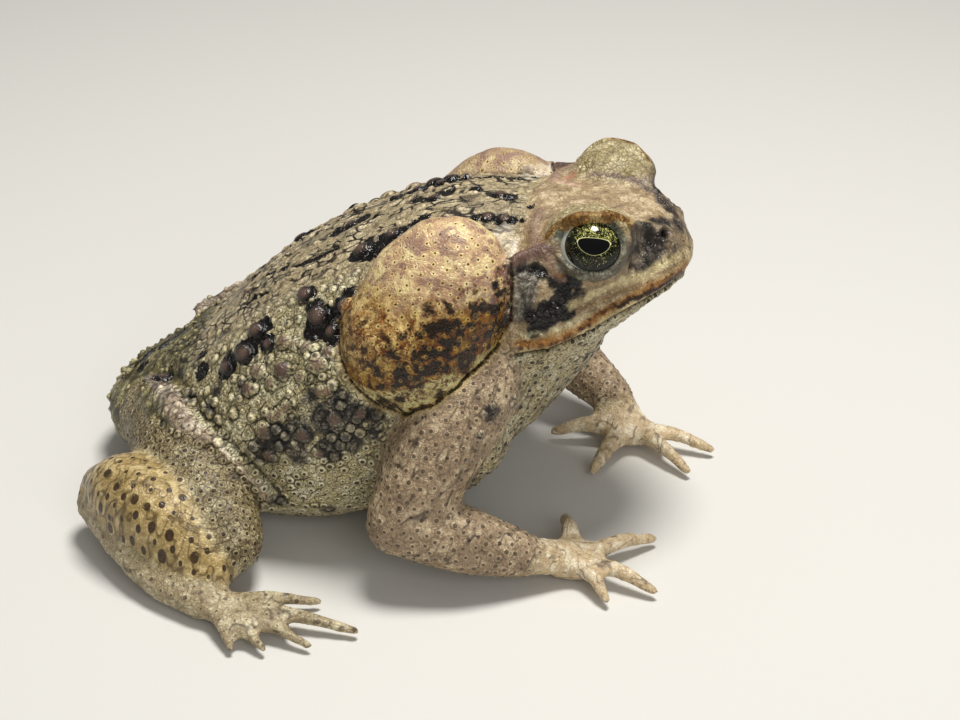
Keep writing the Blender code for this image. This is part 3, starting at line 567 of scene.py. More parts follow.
GLAND_LIP_HEIGHT, GLAND_LIP_SLOPE, GLAND_LIP_WOBBLE = 51.6, 0.33, 4.0
gland_lip = z - GLAND_LIP_HEIGHT - GLAND_LIP_SLOPE * np.maximum(x - 5, 0)
gland_lip += GLAND_LIP_WOBBLE * (pattern["ragged"] + pattern["mottle"] - 1)
WHERE = {
    "head": masks["head"], "lid_top": lid_tops,
    "loreal": masks["head"] * loreal * soft(9, 12, aside),
    "cheek": face_front * soft(1.2, 3.4, from_mouth) * soft(13.5, 10.0, from_mouth) * soft(14, 19, aside),
    "snout": face_front * soft(66, 70, x) * soft(80.5, 77, z),
    "lip": face_front * soft(-0.1, 0.2, from_mouth) * soft(4.6, 3.2, from_mouth),
    "throat": np.clip(face * soft(0.3, -0.5, from_mouth), 0, 1),
    "back": back_line, "flank": torso * (1 - back_line), "low_flank": low_flank, "rump": rump,
    "chest": chest, "belly": belly, "fold": in_fold * torso, "arm": masks["arm"], "dusky": in_dusky,
    "hand": masks["hand"], "thigh": masks["thigh"], "shank": masks["shank"], "foot": masks["foot"],
    "gland": gland, "gland_far": 0.7 * gland * soft(4, 9, y),
    "gland_middle": gland * soft(78, 70, z + 0.15 * (x - 10)),
    "gland_low": gland * soft(66, 55, z - 0.25 * (x - 15)),
    "gland_dark": gland * gland_front * soft(76, 69, z),
    "gland_rim": gland * soft(1.0, -1.0, gland_lip),
    "ear": ear * face, "cheek_black": in_cheek, "snout_dark": near_nose * face,
    "nose_patch": in_nose * face, "black": in_black,
}
print(len(WHERE), "looks have a place")

# %% The looks
# The first row of a look holds its paints: crease, ground, flecks, wart tops; the crease paint is
# also painted shade in hollows, and the fleck paint painted highlight on bumps. The second row holds
# the spacing, radius and height of the warts in millimetres, then how strongly creases, cracks, wart
# tops, pale rings and dark pores show, the pore's share of its wart, and the varnish's roughness.
LOOKS = {
    "flank": (("#171109", "#c0b284", "#f0e6bc", "#4a3a32"),
              (2.45, 1.2, 0.9, 1.0, 0.3, 0.9, 0.35, 0.8, 0.3, 0.48)),
    "head": (("#4e3a28", "#a8906c", "#d8c49e", "#957c5e"),
             (1.7, 0.5, 0.07, 0.35, 0.4, 0.25, 0.0, 0.5, 0.4, 0.44)),
    "lid_top": (("#4f4125", "#bdac7c", "#e6d6aa", "#b3a274"),
                (1.4, 0.62, 0.2, 0.8, 0.4, 0.3, 0.0, 0.3, 0.3, 0.48)),
    "loreal": (("#2b221a", "#786853", "#a08f75", "#857460"),
               (2.0, 0.6, 0.1, 0.45, 0.3, 0.25, 0.0, 0.3, 0.3, 0.45)),
    "cheek": (("#32261a", "#a8906c", "#d6c29a", "#8f7858"),
              (2.0, 0.6, 0.08, 0.45, 0.5, 0.25, 0.0, 0.6, 0.4, 0.45)),
    "snout": (("#2a2010", "#a48b68", "#e2cca0", "#a08e60"),
              (1.6, 0.6, 0.1, 0.6, 0.55, 0.3, 0.0, 0.9, 0.5, 0.46)),
    "lip": (("#3a240c", "#c4aa72", "#e6d2a0", "#cdb27c"),
            (1.8, 0.55, 0.07, 0.45, 0.25, 0.2, 0.0, 0.4, 0.5, 0.4)),
    "throat": (("#21180d", "#d2c498", "#f2e8c6", "#d4c69c"),
               (2.2, 0.95, 0.26, 0.9, 0.1, 0.4, 0.1, 1.0, 0.64, 0.54)),
    "back": (("#231a0f", "#c6b48c", "#ecdcb6", "#7d6454"),
             (3.2, 1.25, 0.45, 0.6, 0.5, 0.5, 0.0, 0.3, 0.15, 0.48)),
    "low_flank": (("#140f07", "#dacc98", "#f8efca", "#e4d8b0"),
                  (2.0, 0.95, 0.55, 0.95, 0.2, 0.8, 0.7, 1.0, 0.5, 0.5)),
    "rump": (("#120d04", "#a6985e", "#e2d8a4", "#453628"),
             (2.2, 1.0, 0.85, 1.0, 0.3, 0.8, 0.2, 0.8, 0.3, 0.48)),
    "chest": (("#181107", "#d2c294", "#f4eac6", "#cfc198"),
              (2.3, 1.0, 0.36, 0.85, 0.3, 0.5, 0.25, 1.0, 0.64, 0.52)),
    "belly": (("#231a0f", "#d0c096", "#eee2bc", "#d4c69c"),
              (2.3, 0.95, 0.32, 0.5, 0.45, 0.4, 0.4, 1.0, 0.6, 0.54)),
    "fold": (("#1e1612", "#c8b092", "#f6e8cc", "#5a484a"),
             (2.3, 1.15, 0.95, 0.85, 0.2, 0.8, 0.5, 0.8, 0.2, 0.44)),
    "arm": (("#2a1c14", "#a89072", "#d8c29e", "#6a5042"),
            (2.15, 0.98, 0.32, 0.45, 0.15, 0.3, 0.6, 0.85, 0.62, 0.46)),
    "dusky": (("#080706", "#3c3730", "#a89d84", "#4b4844"),
              (2.3, 1.15, 0.9, 1.0, 0.6, 0.95, 0.0, 0.0, 0.16, 0.34)),
    "hand": (("#584333", "#d2ba92", "#f2e4c4", "#b89c80"),
             (2.4, 0.75, 0.18, 0.22, 0.3, 0.35, 0.0, 0.1, 0.3, 0.36)),
    "thigh": (("#241709", "#9e8d64", "#d6c89c", "#5e4836"),
              (2.1, 0.95, 0.34, 0.95, 0.2, 0.3, 0.2, 1.0, 0.62, 0.46)),
    "shank": (("#4a3818", "#ae955f", "#dcc48e", "#b39a66"),
              (3.3, 1.45, 0.05, 0.2, 0.25, 0.1, 0.1, 1.0, 0.62, 0.32)),
    "foot": (("#423628", "#b3a17d", "#ddd0aa", "#97836a"),
             (2.6, 0.85, 0.18, 0.45, 0.3, 0.35, 0.0, 0.7, 0.52, 0.44)),
    "gland": (("#76553a", "#c6a57e", "#ecd79e", "#cfae84"),
              (1.95, 0.95, 0.06, 0.0, 0.0, 0.2, 0.95, 1.0, 0.31, 0.34)),
    "gland_far": (("#5a4c3a", "#a08c6c", "#c2ae88", "#a08c6c"),
                  (1.95, 0.9, 0.06, 0.0, 0.0, 0.2, 0.5, 0.8, 0.3, 0.44)),
    "gland_middle": (("#4e2c0e", "#a88850", "#dcc07e", "#b59256"),
                     (1.95, 0.95, 0.07, 0.0, 0.0, 0.2, 0.95, 1.0, 0.31, 0.29)),
    "gland_low": (("#1a1005", "#8c6a1c", "#c8a04c", "#8a6c34"),
                  (1.95, 0.95, 0.08, 0.0, 0.0, 0.2, 0.95, 1.0, 0.31, 0.26)),
    "gland_dark": (("#0e0804", "#66480e", "#a88434", "#5a441e"),
                   (1.95, 0.95, 0.08, 0.0, 0.0, 0.2, 0.95, 1.0, 0.31, 0.24)),
    "gland_rim": (("#2c2612", "#b9ac74", "#ddd297", "#bfb078"),
                  (2.8, 0.8, 0.1, 0.2, 0.35, 0.2, 0.3, 0.4, 0.35, 0.36)),
    "ear": (("#15110d", "#665d4e", "#b5ad9a", "#766d5e"),
            (1.6, 0.55, 0.14, 0.5, 0.4, 0.4, 0.0, 0.2, 0.3, 0.38)),
    "cheek_black": (("#050404", "#191512", "#3b3430", "#2b2622"),
                    (1.15, 0.6, 0.4, 0.6, 0.0, 0.8, 0.0, 0.0, 0.2, 0.24)),
    "snout_dark": (("#1a1511", "#574c40", "#877a67", "#645a4c"),
                   (1.7, 0.6, 0.2, 0.6, 0.35, 0.5, 0.0, 0.4, 0.3, 0.38)),
    "nose_patch": (("#0b0908", "#2c2520", "#6c6459", "#433b34"),
                   (1.5, 0.58, 0.2, 0.6, 0.35, 0.6, 0.0, 0.0, 0.2, 0.32)),
    "black": (("#060504", "#13100d", "#2b2420", "#2f2723"),
              (2.1, 1.0, 0.5, 0.6, 0.0, 0.8, 0.0, 0.0, 0.2, 0.24)),
}
PAINTS = ("crease_paint", "ground_paint", "fleck_paint", "top_paint")
SHAPE_NUMBERS = ("spacing", "radius", "height")
PAINT_NUMBERS = ("valley", "crack", "top", "ring", "pore", "pore_share", "rough")
NUMBERS = SHAPE_NUMBERS + PAINT_NUMBERS


def colour(hex_value):
    """An sRGB hex value as linear light."""
    parts = [int(hex_value[i:i + 2], 16) / 255 for i in (1, 3, 5)]
    linear = [c / 12.92 if c <= 0.04045 else ((c + 0.055) / 1.055) ** 2.4 for c in parts]
    return (*linear, 1.0)


def paints_of(*hexes):
    return np.concatenate([colour(hex_value)[:3] for hex_value in hexes])


tints = np.zeros((len(rest), 3 * len(PAINTS)))
numbers = np.zeros((len(rest), len(NUMBERS)))
for name in ["flank"] + [name for name in WHERE if name != "flank"]:
    paints, wart_numbers = LOOKS[name]
    amount = WHERE[name][:, None] if name != "flank" else 1.0
    tints += amount * (paints_of(*paints) - tints)
    numbers += amount * (np.array(wart_numbers) - numbers)
number = dict(zip(NUMBERS, numbers.T))
print(len(LOOKS), "looks laid on")

# %% [markdown]
# Head markings: cream lip with a rusty band, dusky ridges behind the eye, a pale patch in front of
# the gland, and a painted shadow under the ridge behind the eye. They are painted as strokes over the
# looks, each in one hue, while creases and flecks keep their darker and lighter shades of it.

# %% Strokes of paint on the head
# A stroke: its paint, how ragged and how soft its edge is in millimetres, its strength, and its row
# of balls. The far strokes are brow and snout markings that only the left side has.
STROKES = [
    ("#86695a", 0.6, 1.1, 0.8,
     [(37, -8, 84, 1.0), (36.5, -13, 83.5, 1.3), (37, -18, 83, 1.3), (38.5, -21.5, 82, 1.2)]),
    ("#6b5247", 0.6, 0.7, 1.0,
     [(42.5, -22.5, 81.5, 1.3), (39, -23.5, 81, 1.8), (36, -24.5, 80, 1.8), (33.5, -27, 79, 1.6)]),
    # Painted shadow under the ridge behind the eye, in the groove below it.
    ("#1a130f", 0.9, 0.5, 0.95,
     [(41, -26, 78.2, 0.5), (38, -26.8, 78.2, 0.9), (35.5, -28.2, 77.4, 1.0), (34, -29.5, 76.5, 0.8)]),
    ("#806452", 0.6, 0.7, 0.9,
     [(41, -23.5, 80, 1.2), (42.5, -24.5, 78.5, 1.3), (44, -25.5, 76.8, 1.3), (45.5, -26, 75.5, 0.9)]),
    ("#8f5826", 0.8, 0.6, 0.9, [(43, -24.4, 78.2, 0.6), (44.5, -25.4, 76.8, 0.8)]),
    ("#7b6a4a", 0.9, 0.9, 0.7, [(51, -26, 73.2, 0.9), (55, -25, 73.2, 0.7)]),
    ("#fff0d2", 1.2, 0.8, 1.0,
     [(30, -13, 81, 1.6), (29.5, -17, 81, 2.4), (31.5, -20, 79.5, 2.4), (32.3, -24, 79.7, 1.6)]),
    ("#e6d5a8", 0.8, 0.5, 0.9,
     [(37, -31, 62.3, 0.7), (42, -31, 63.2, 0.8), (47, -29.5, 65.3, 0.8), (51, -27.5, 67.5, 0.6)]),
    ("#e0cb98", 0.9, 0.8, 0.8,
     [(48, -27.5, 69.5, 0.9), (52, -26, 71.5, 0.9), (56, -24, 73.5, 0.9), (61, -20, 74, 1.0),
      (64, -17, 74, 1.2), (67, -12, 75, 1.1), (70, -7, 75, 1.1)]),
    ("#86653a", 0.9, 0.6, 0.7,
     [(51, -26.5, 69, 0.3), (56, -24, 71, 0.45), (60, -21, 72, 0.5), (64, -18, 72, 0.5),
      (67, -14, 72.5, 0.4)]),
    ("#96632a", 1.3, 0.6, 0.95,
     [(36, -31, 60, 0.9), (40, -31.5, 60.3, 1.3), (46, -30.5, 62, 1.3), (50, -29, 64, 1.1),
      (54, -26, 67, 0.8), (58, -24, 69, 0.9), (62, -21, 70.5, 1.1), (66, -17, 71, 1.2),
      (70, -11, 71.2, 1.1), (73, -4, 72, 0.9)]),
    ("#2c1808", 1.5, 0.4, 1.0,
     [(37, -31.5, 59.2, 0.6), (43, -31.5, 60.4, 0.8), (48, -30, 62.4, 0.7), (52, -27.5, 65, 0.4)]),
    ("#2c1808", 1.5, 0.4, 1.0,
     [(58, -24, 68.2, 0.5), (61, -21.5, 69.4, 0.7), (66, -16.5, 70, 0.8), (71, -8, 70.8, 0.7)]),
    ("#4a2a0e", 2.5, 0.4, 0.95,
     [(37, -31.3, 60.6, 0.1), (43, -31.3, 61.4, 0.1), (48, -30, 63.4, 0.1), (54, -26, 67.2, 0.1),
      (60, -22.5, 70, 0.1), (66, -17, 71.2, 0.2), (71, -8, 71.6, 0.2)]),
    ("#4f3b22", 2.8, 0.6, 0.85, [(66, -15.5, 75.5, 0.9), (69, -11, 77, 1.2), (71.5, -6, 78, 1.3)]),
    ("#6b5236", 2.5, 0.6, 0.7, [(47, -28.5, 68, 0.1), (53, -25.5, 70.5, 0.2), (58, -22.5, 73, 0.2)]),
    ("#7d6248", 3.2, 1.2, 0.55, [(44, -8, 85.5, 0.5), (52, -6, 86, 0.5), (58, -6, 85.5, 0.5)]),
    ("#9a8d62", 0.6, 0.5, 0.8,
     [(40, -31, 57.4, 0.7), (50, -28.5, 60.3, 0.7), (58, -24, 64.2, 0.7), (66, -15, 67, 0.7)]),
    ("#4b3c34", 0.9, 0.6, 0.9,
     [(60, -16, 86, 0.6), (62.5, -13.5, 84.6, 0.9), (65, -11.5, 83.2, 1.0), (67.5, -8.5, 82.3, 0.9)]),
    ("#57402f", 0.9, 0.6, 0.8, [(59.5, -17, 86, 0.8), (61, -17, 83.5, 1.0)]),
    ("#efe2c4", 0.8, 0.5, 0.9,
     [(33.5, -30.5, 70, 0.5), (34, -31, 66, 0.8), (35, -31.5, 62, 0.9), (35.5, -32, 58.5, 0.9)]),
    ("#e6dac0", 0.7, 0.4, 0.7, [(35.5, -29.5, 73, 0.3), (36.5, -30, 69, 0.5), (37, -31, 64, 0.5)]),
    ("#5f4636", 0.8, 0.5, 0.9, [(33, -30, 58, 0.7), (33.5, -31, 57, 0.5)]),
]
FAR_STROKES = [
    ("#7c6660", 0.9, 0.5, 0.8,
     [(45, 10, 86, 0.5), (50, 10, 86, 0.7), (54, 10, 86, 0.7), (58, 11, 84.5, 0.9)]),
    ("#3d302b", 1.2, 0.6, 0.8,
     [(58, 11, 84, 0.7), (61, 9, 83, 0.8), (63.5, 7, 83, 0.9), (66, 4.5, 82, 1.0),
      (68, 4, 80.5, 1.2)]),
    ("#3d302b", 1.2, 0.5, 0.7,
     [(68, 3, 80.5, 0.9), (70, 3, 79, 0.9), (71, 2, 76, 0.6), (72, -2, 74, 0.5)]),
    ("#c58069", 0.9, 1.2, 0.7, [(41, 12.5, 84, 1.2), (40, 10.5, 84, 0.8)]),
    ("#b58b7c", 0.9, 1.3, 0.6, [(43, 6, 85, 1.0), (38, 9, 84, 1.0)]),
]
SHADE, LIGHT, LIGHTEST = 0.35, 1.35, 0.9
on_face = np.clip(face + 0.4, 0, 1)
for side_strokes, mirror in ((STROKES, True), (FAR_STROKES, False)):
    for hex_value, wobble, edge, strength, row in side_strokes:
        hue = paints_of(hex_value)
        shades = np.concatenate([hue * SHADE, hue, np.minimum(hue * LIGHT, LIGHTEST), hue])
        inside = ragged(depth_in(row, joined=True, mirror=mirror), wobble, edge)
        tints += (strength * inside * on_face)[:, None] * (shades - tints)
print(len(STROKES) + len(FAR_STROKES), "strokes")

# %% [markdown]
# Warts stand apart from each other like people in a crowd. Dart throwing gives just that: points of
# the skin are tried in a random order, and a wart is set only where no other stands too near. The
# largest ones are listed one by one where the real animal has them.

# %% Set the warts
def scatter(spacing, tries, seed):
    """Numbers of skin points that keep at least the given spacing from each other."""
    order = np.random.default_rng(seed).permutation(len(rest))[:tries]
    square = float(spacing.max())
    places, gaps = rest[order].tolist(), spacing[order].tolist()
    grid, kept = {}, []
    for index, (px, py, pz), gap in zip(order.tolist(), places, gaps):
        gx, gy, gz = int(px // square), int(py // square), int(pz // square)
        limit = gap * gap
        near = (one for i in (-1, 0, 1) for j in (-1, 0, 1) for k in (-1, 0, 1)
                for one in grid.get((gx + i, gy + j, gz + k), ()))
        if all((px - qx) ** 2 + (py - qy) ** 2 + (pz - qz) ** 2 > limit for qx, qy, qz in near):
            grid.setdefault((gx, gy, gz), []).append((px, py, pz))
            kept.append(index)
    return np.array(kept)


def nearest_two(centres):
    """For each skin point, which centre is nearest, and how far the nearest and the next one are."""
    finder = kdtree.KDTree(len(centres))
    for i, centre in enumerate(centres.tolist()):
        finder.insert(centre, i)
    finder.balance()
    found = [finder.find_n(p, 2) for p in rest.tolist()]
    distances = np.array([[first[2], second[2]] for first, second in found])
    return np.array([first[1] for first, _ in found]), distances[:, 0], distances[:, 1]


# A wart's radius and height are between two shares of what its look says, and most are small ones.
# Pores on limbs, gland and underside are more even in size.
TRIES = 90000
RADIUS_LEAST, RADIUS_MORE, RADIUS_CURVE = 0.55, 0.75, 1.6
HEIGHT_LEAST, HEIGHT_MORE, HEIGHT_CURVE = 0.40, 0.95, 1.4
EVEN_RADIUS, EVENNESS = 0.85, 0.75
SHANK_STRETCH = 0.42
WART_SEED, DRAW_SEED = 7, 11
wart_points = scatter(number["spacing"], TRIES, WART_SEED)
which, away, next_away = nearest_two(rest[wart_points])
draws = np.random.default_rng(DRAW_SEED).random((len(wart_points), 3))
varied = RADIUS_LEAST + RADIUS_MORE * draws[:, 0] ** RADIUS_CURVE
even = np.clip(masks["arm"] + masks["thigh"] + gland + belly + chest, 0, 1)[wart_points] * EVENNESS
radius = number["radius"][wart_points] * (varied + even * (EVEN_RADIUS - varied))
gap = next_away - away
offset = rest - rest[wart_points[which]]
offset[:, 2] *= 1 - SHANK_STRETCH * masks["shank"]
wart_near = np.linalg.norm(offset, axis=1) / radius[which]
wart_draw = draws[which, 1]
height_share = HEIGHT_LEAST + HEIGHT_MORE * draws[:, 0] ** HEIGHT_CURVE
wart_height = (number["height"][wart_points] * height_share)[which]
print(len(wart_points), "small warts and pores")

# %% Large warts
GREAT_WARTS = [
    (-17, -25, 64, 2.2), (-12, -31, 62, 2.7), (-5, -32, 66, 2.4), (-8, -34, 60, 1.8),
    (-29, -28, 55, 2.3), (-31, -32, 50, 2.5), (-36, -31, 45, 2.1), (-25, -33, 54, 1.7),
    (-47, -22, 41, 1.9), (-58, -18, 32, 2.2), (-10, -40, 54, 2.4), (-19, -39, 51, 2.3),
    (-14, -40, 50, 1.8), (-26, -37, 49, 2.1), (-22, -39, 47, 1.8), (-28, -38, 44, 2.2),
    (-20, -34, 56, 2.1), (-17, -34, 55, 1.6), (-8, -37, 56, 1.7), (-14, -37, 57, 1.6),
    (-23, -43, 36, 2.5), (-9, -44, 49, 1.7), (-7, -43, 49, 1.7), (-21, -43, 40, 1.7),
    (-19, -43, 41, 1.9), (-17, -42, 43, 1.6), (-13, -45, 37, 2.0), (-22, -44, 30, 1.7),
    (-5, -44, 42, 2.0), (1, -43, 44, 1.8), (-9, -44, 33, 1.6), (-37, -9, 54, 1.8), (-29, 11, 60.5, 2.2),
    (-12, -1, 72, 2.0), (-5, -16, 73, 2.4), (2, -14, 77.5, 2.1), (6, 13, 80, 2.1), (10, 14, 81, 2.1),
    (14, 14, 82, 1.8), (9, 9, 80, 1.7), (3, 8, 79, 1.6), (10, -1, 81, 1.6), (25, -11, 82, 1.7),
    (29, -11, 82, 1.7), (28.5, 19, 81.5, 1.9), (26, -1, 84, 1.7), (16, 6, 82.5, 1.5), (20, -5, 83, 1.4),
    (4, 4, 80, 1.4), (-61, -17, 33, 1.9), (-50, -31, 34, 1.8), (-46, -36, 33, 1.7), (-44, -38, 31, 1.9),
    (-39, -41, 29, 1.9), (-34, -43, 26, 1.9), (33, -30, 58, 1.3), (36, -31.5, 59, 0.9),
    (33, -35, 55, 1.2),
]
# Balls of x, y, z and radius. A wart beyond this y or behind this x stands alone; the others have a
# twin on the far side.
ALONE_BEYOND, ALONE_BEHIND = -12, -44
GREAT_RISE = 0.52
great_near = np.full(len(rest), np.inf)
great_height = np.zeros(len(rest))
for *wart_place, size in GREAT_WARTS:
    alone = wart_place[1] > ALONE_BEYOND or wart_place[0] < ALONE_BEHIND
    for side in (1,) if alone else (1, -1):
        centre = np.array(placed(*wart_place, side, PATCH_SLIP))
        base = rest[np.linalg.norm(rest - centre, axis=1).argmin()]
        near = np.linalg.norm(rest - base, axis=1) / size
        great_near = np.minimum(great_near, near)
        bulge = GREAT_RISE * size * np.sqrt(np.clip(1 - near ** 2, 0, 1))
        great_height = np.maximum(great_height, bulge)
print(len(GREAT_WARTS), "large warts placed")

# %% [markdown]
# On the real skin a wart is a low dome, steeper where it is old and horny, and the skin between the
# warts is cracked, wrinkled and grained. All of this could be bump in the paint, but the outline and
# the shadows would stay smooth, so every point of the skin is moved out or in by its own height.

# %% Wrinkles
# Each kind: its lines, where they lie, and how deep they are in millimetres.
fading = soft(0.42, 0.56, pattern["mottle"])
wrinkle_parts = (
    (creases((0.1, 0, 1), 2.3, 31, 0.34), rump + 0.5 * low_flank * soft(-10, -30, x), 0.45),
    (creases((0.8, 0, 1), 2.0, 32), torso * soft(-4, 8, x) * soft(52, 44, z), 0.35),
    (creases((0.15, 0, 1), 1.7, 33), masks["shank"], 0.10),
    (creases((0, 0, 1), 1.1, 34), ear * face, 0.20),
    (creases((0.3, 0.2, 1), 2.2, 35), WHERE["loreal"], 0.35),
    (creases((0.5, 0.5, 1), 1.8, 36, 0.11), masks["arm"] * fading, 0.2),
    (creases((0, 1, 0.2), 1.6, 37, 0.11), (masks["hand"] + masks["foot"]) * fading, 0.14),
    (creases((1, 0, 0.2), 2.0, 38), back_line * (0.4 + 0.6 * fading) + 0.4 * masks["thigh"] * fading, 0.22),
    (creases((0.8, 0.3, 0.5), 1.5, 39), 0.5 * lid_tops + 0.4 * chest + 0.3 * WHERE["throat"], 0.12),
    (creases((0.5, 0.8, 0.1), 2.6, 40, 0.10), 0.45 * masks["head"], 0.10),
    (creases((0.2, 0.1, 1), 1.3, 46, 0.12), 0.5 * WHERE["cheek"], 0.12),
)
wrinkle = np.zeros(len(rest))
fold_depth = np.zeros(len(rest))
for lines, amount, deep in wrinkle_parts:
    wrinkle = np.maximum(wrinkle, lines * np.clip(amount, 0, 1))
    fold_depth = np.maximum(fold_depth, lines * np.clip(amount, 0, 1) * deep)
print("wrinkles on", round(float((wrinkle > 0.5).mean() * 100), 1), "% of the skin")

# %% Raise warts, granules, cracks and folds
GRANULE_HEIGHT = 0.16
NET_DEPTH, GAP_DEPTH, FLAKE_DEPTH, PIT_DEPTH = 0.26, 0.24, 0.34, 0.28
PATCH_DEPTH = 0.25
FOLD_HEIGHT, FURROW_DEPTH = 1.3, 0.6
# Lumps of the gland: size and height.
GLAND_LUMPS = ((6, 0.30), (2.8, 0.09), (1.3, 0.03))
HEAD_LUMPS, TOE_LUMPS = (2.2, 0.10), (2.4, 0.12)
dome = np.clip(1 - wart_near ** 2, 0, 1) ** 0.55
cone = np.clip(1 - wart_near, 0, 1)
pointed = np.clip(number["ring"] * 1.4, 0, 1) * (1 - gland)
small = wart_height * (dome * (1 - pointed) + cone * pointed * 1.2)
granules = np.clip(number["valley"], 0.15, 1) * (1 - dome) * soft(0.55, 0.15, pattern["grain_far"])
net_cracks = number["crack"] * soft(0.10, 0.0, pattern["net_edge"])
gap_cracks = number["valley"] * soft(0.55, 0.0, gap) * (1 - gland)
flake_cracks = back_line * soft(0.10, 0.0, pattern["flake_edge"]) * soft(0.42, 0.55, pattern["mottle"])
cracks = np.maximum(NET_DEPTH * net_cracks, GAP_DEPTH * gap_cracks)
cracks = np.maximum(cracks, FLAKE_DEPTH * flake_cracks)
pits = PIT_DEPTH * gland * soft(0.55, 0.25, wart_near)
heights = small + GRANULE_HEIGHT * granules - cracks - fold_depth - pits
heights = np.maximum(heights, great_height * (0.9 + 0.12 * pattern["ragged"]))
heights -= PATCH_DEPTH * in_black * soft(0.9, 1.3, great_near)
furrow = np.exp(-((fold + 2.4) / 0.9) ** 2)
heights += torso * (FOLD_HEIGHT * soft(-1.6, 1.4, fold) - FURROW_DEPTH * furrow)
for seed, (size, height) in enumerate(GLAND_LUMPS, 41):
    heights += gland * height * noise(size, seed)
heights += masks["head"] * HEAD_LUMPS[1] * noise(HEAD_LUMPS[0], 44)
heights += (masks["hand"] + masks["foot"]) * TOE_LUMPS[1] * noise(TOE_LUMPS[0], 45)
gland_border = np.exp(-((gland - 0.42) / 0.14) ** 2)
deep_border = np.maximum(soft(72, 62, z), soft(24, 30, x) * soft(83, 79, z))
heights -= gland_border * (0.4 + 0.7 * deep_border)
print("raised by up to", round(float(heights.max()), 2), "mm")

# %% Ridges and grooves
# Each one: its height, or its depth where it is below nought, its half width, and its points.
RIDGES = [
    (-2.0, 5.0, [(-58, 23, 35), (-62, 20, 33), (-65, 17, 31)]),
    (0.8, 1.5, [(60, -15.5, 86.3), (62.5, -13.5, 85), (65, -11, 83.6), (67.5, -8.5, 82.4)]),
    (0.6, 1.5, [(37, -8, 84), (36.5, -13, 83.5), (37, -18, 83), (38.5, -21.5, 82)]),
    (1.3, 1.4, [(42, -22.5, 81.5), (39, -23.5, 81), (36, -24.5, 80), (33.5, -27, 79)]),
    (0.9, 1.2, [(41, -23.5, 80), (42.5, -24.5, 78.5), (44.5, -25.5, 76.3)]),
    (0.45, 0.9, [(33.5, -30.5, 70), (34, -31, 66), (35, -31.5, 61)]),
    (-0.8, 1.2, [(60.3, -17.8, 84), (61.3, -17.3, 80.5), (61, -18.8, 76.8)]),
    (0.5, 1.3, [(63.5, -14.5, 83), (64, -13.5, 79.5), (63.5, -16.5, 76)]),
    (-0.8, 1.0, [(35, -28, 77.6), (38, -27, 78), (41, -26.5, 77.5)]),
]
for raised, wide, row in RIDGES:
    from_line = depth_in([(*point, 0) for point in row], joined=True)
    heights += raised * np.exp(-(np.minimum(from_line, 0) / wide) ** 2)
skin_points = rest + facing * heights[:, None]
print("relief from", round(float(heights.min()), 2), "to", round(float(heights.max()), 2), "mm")

# %% [markdown]
# The eye sits in a socket between a thick upper lid and a thin lower one. The skin was drawn
# right over the eyeball, so it is parted here: inside the opening it is pushed in below the glass,
# and along the edge it is rounded into a lid margin. Angles round the ball serve as a map.

# %% Eyelids
EYES = {-1: "eye_right", 1: "eye_left"}
EYE_CENTRES = {side: np.array((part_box(name)[0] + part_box(name)[1]) / 2 / MM) for side, name in EYES.items()}
EYE_RADIUS = (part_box("eye_right")[1].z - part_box("eye_right")[0].z) / 2 / MM
OPENING_FRONT, OPENING_REAR, OPENING_LOW, OPENING_HIGH, OPENING_UP = 7.6, 9.9, 6.2, 7.4, 0.45
# The brow overhangs the eye: its middle line on the map of angles, forwards and upwards.
BROW = [(-12.5, 1.6), (-11.4, 3.2), (-8.8, 5.4), (-5.9, 6.5), (-3.6, 7.2), (-1.4, 7.7), (1.6, 8.15),
        (4.7, 8.3), (7, 8.0), (9.3, 7.2)]
BROW_HALF = 1.1
BROW_RISE = 0.75
# Thickness of the lower lid and what the upper one has more, and the gap between lid and glass.
LID_THICK, UPPER_THICKER, LID_GAP = 0.75, 0.9, 0.15
INNER_SINK = 1.6
EYE_REACH = 7
LID_FOLD, LID_FOLD_DEPTH = 2.7, 0.3
LID_PAINTS = {"lower": ("#2b261c", "#6c6654", "#a5a28e", "#6c6654"),
              "inner": ("#2c2a1c", "#6d6f5e", "#a5a998", "#6d6f5e"),
              "rim": ("#351d08", "#8f6524", "#d9b676", "#8f6524")}


def eye_axes(side):
    """Unit vectors of the gaze, forwards along the face and upwards; side is -1 for the right eye."""
    gaze = Vector((0.17, 0.88 * side, 0.40)).normalized()
    ahead = (Vector((1, 0, 0)) - gaze * gaze.x).normalized()
    above = gaze.cross(ahead)
    above = above if above.z > 0 else -above
    return np.array(gaze), np.array(ahead), np.array(above)


def map_round(centre, side):
    """Each skin point's distance from the middle of the eye, its direction, and its place on the
    map, in millimetres along the ball forwards and upwards from the gaze."""
    gaze, ahead, above = eye_axes(side)
    ray = skin_points - centre
    length = np.linalg.norm(ray, axis=1)
    way = ray / length[:, None]
    angle = np.arccos(np.clip(way @ gaze, -1, 1))
    flat = np.stack([way @ ahead, way @ above], 1)
    flat *= (angle * EYE_RADIUS / np.maximum(np.linalg.norm(flat, axis=1), 1e-6))[:, None]
    return length, way, flat[:, 0], flat[:, 1]


def past_edge(wide, tall, from_brow):
    """Millimetres on the map from the edge of the opening; inside it they are below nought."""
    half_wide = np.where(wide > 0, OPENING_FRONT, OPENING_REAR)
    half_tall = np.where(tall > 0, OPENING_HIGH, OPENING_LOW)
    ring = np.maximum(np.hypot(wide / half_wide, tall / half_tall), 1e-6)
    outside = np.where(ring < 0.3, -3, np.hypot(wide, tall) * (1 - 1 / ring))
    return np.maximum(outside, np.where(tall > 0, from_brow + BROW_HALF, FAR_OUT))


print("eye openings", OPENING_FRONT + OPENING_REAR, "by", OPENING_LOW + OPENING_HIGH, "mm along the ball")

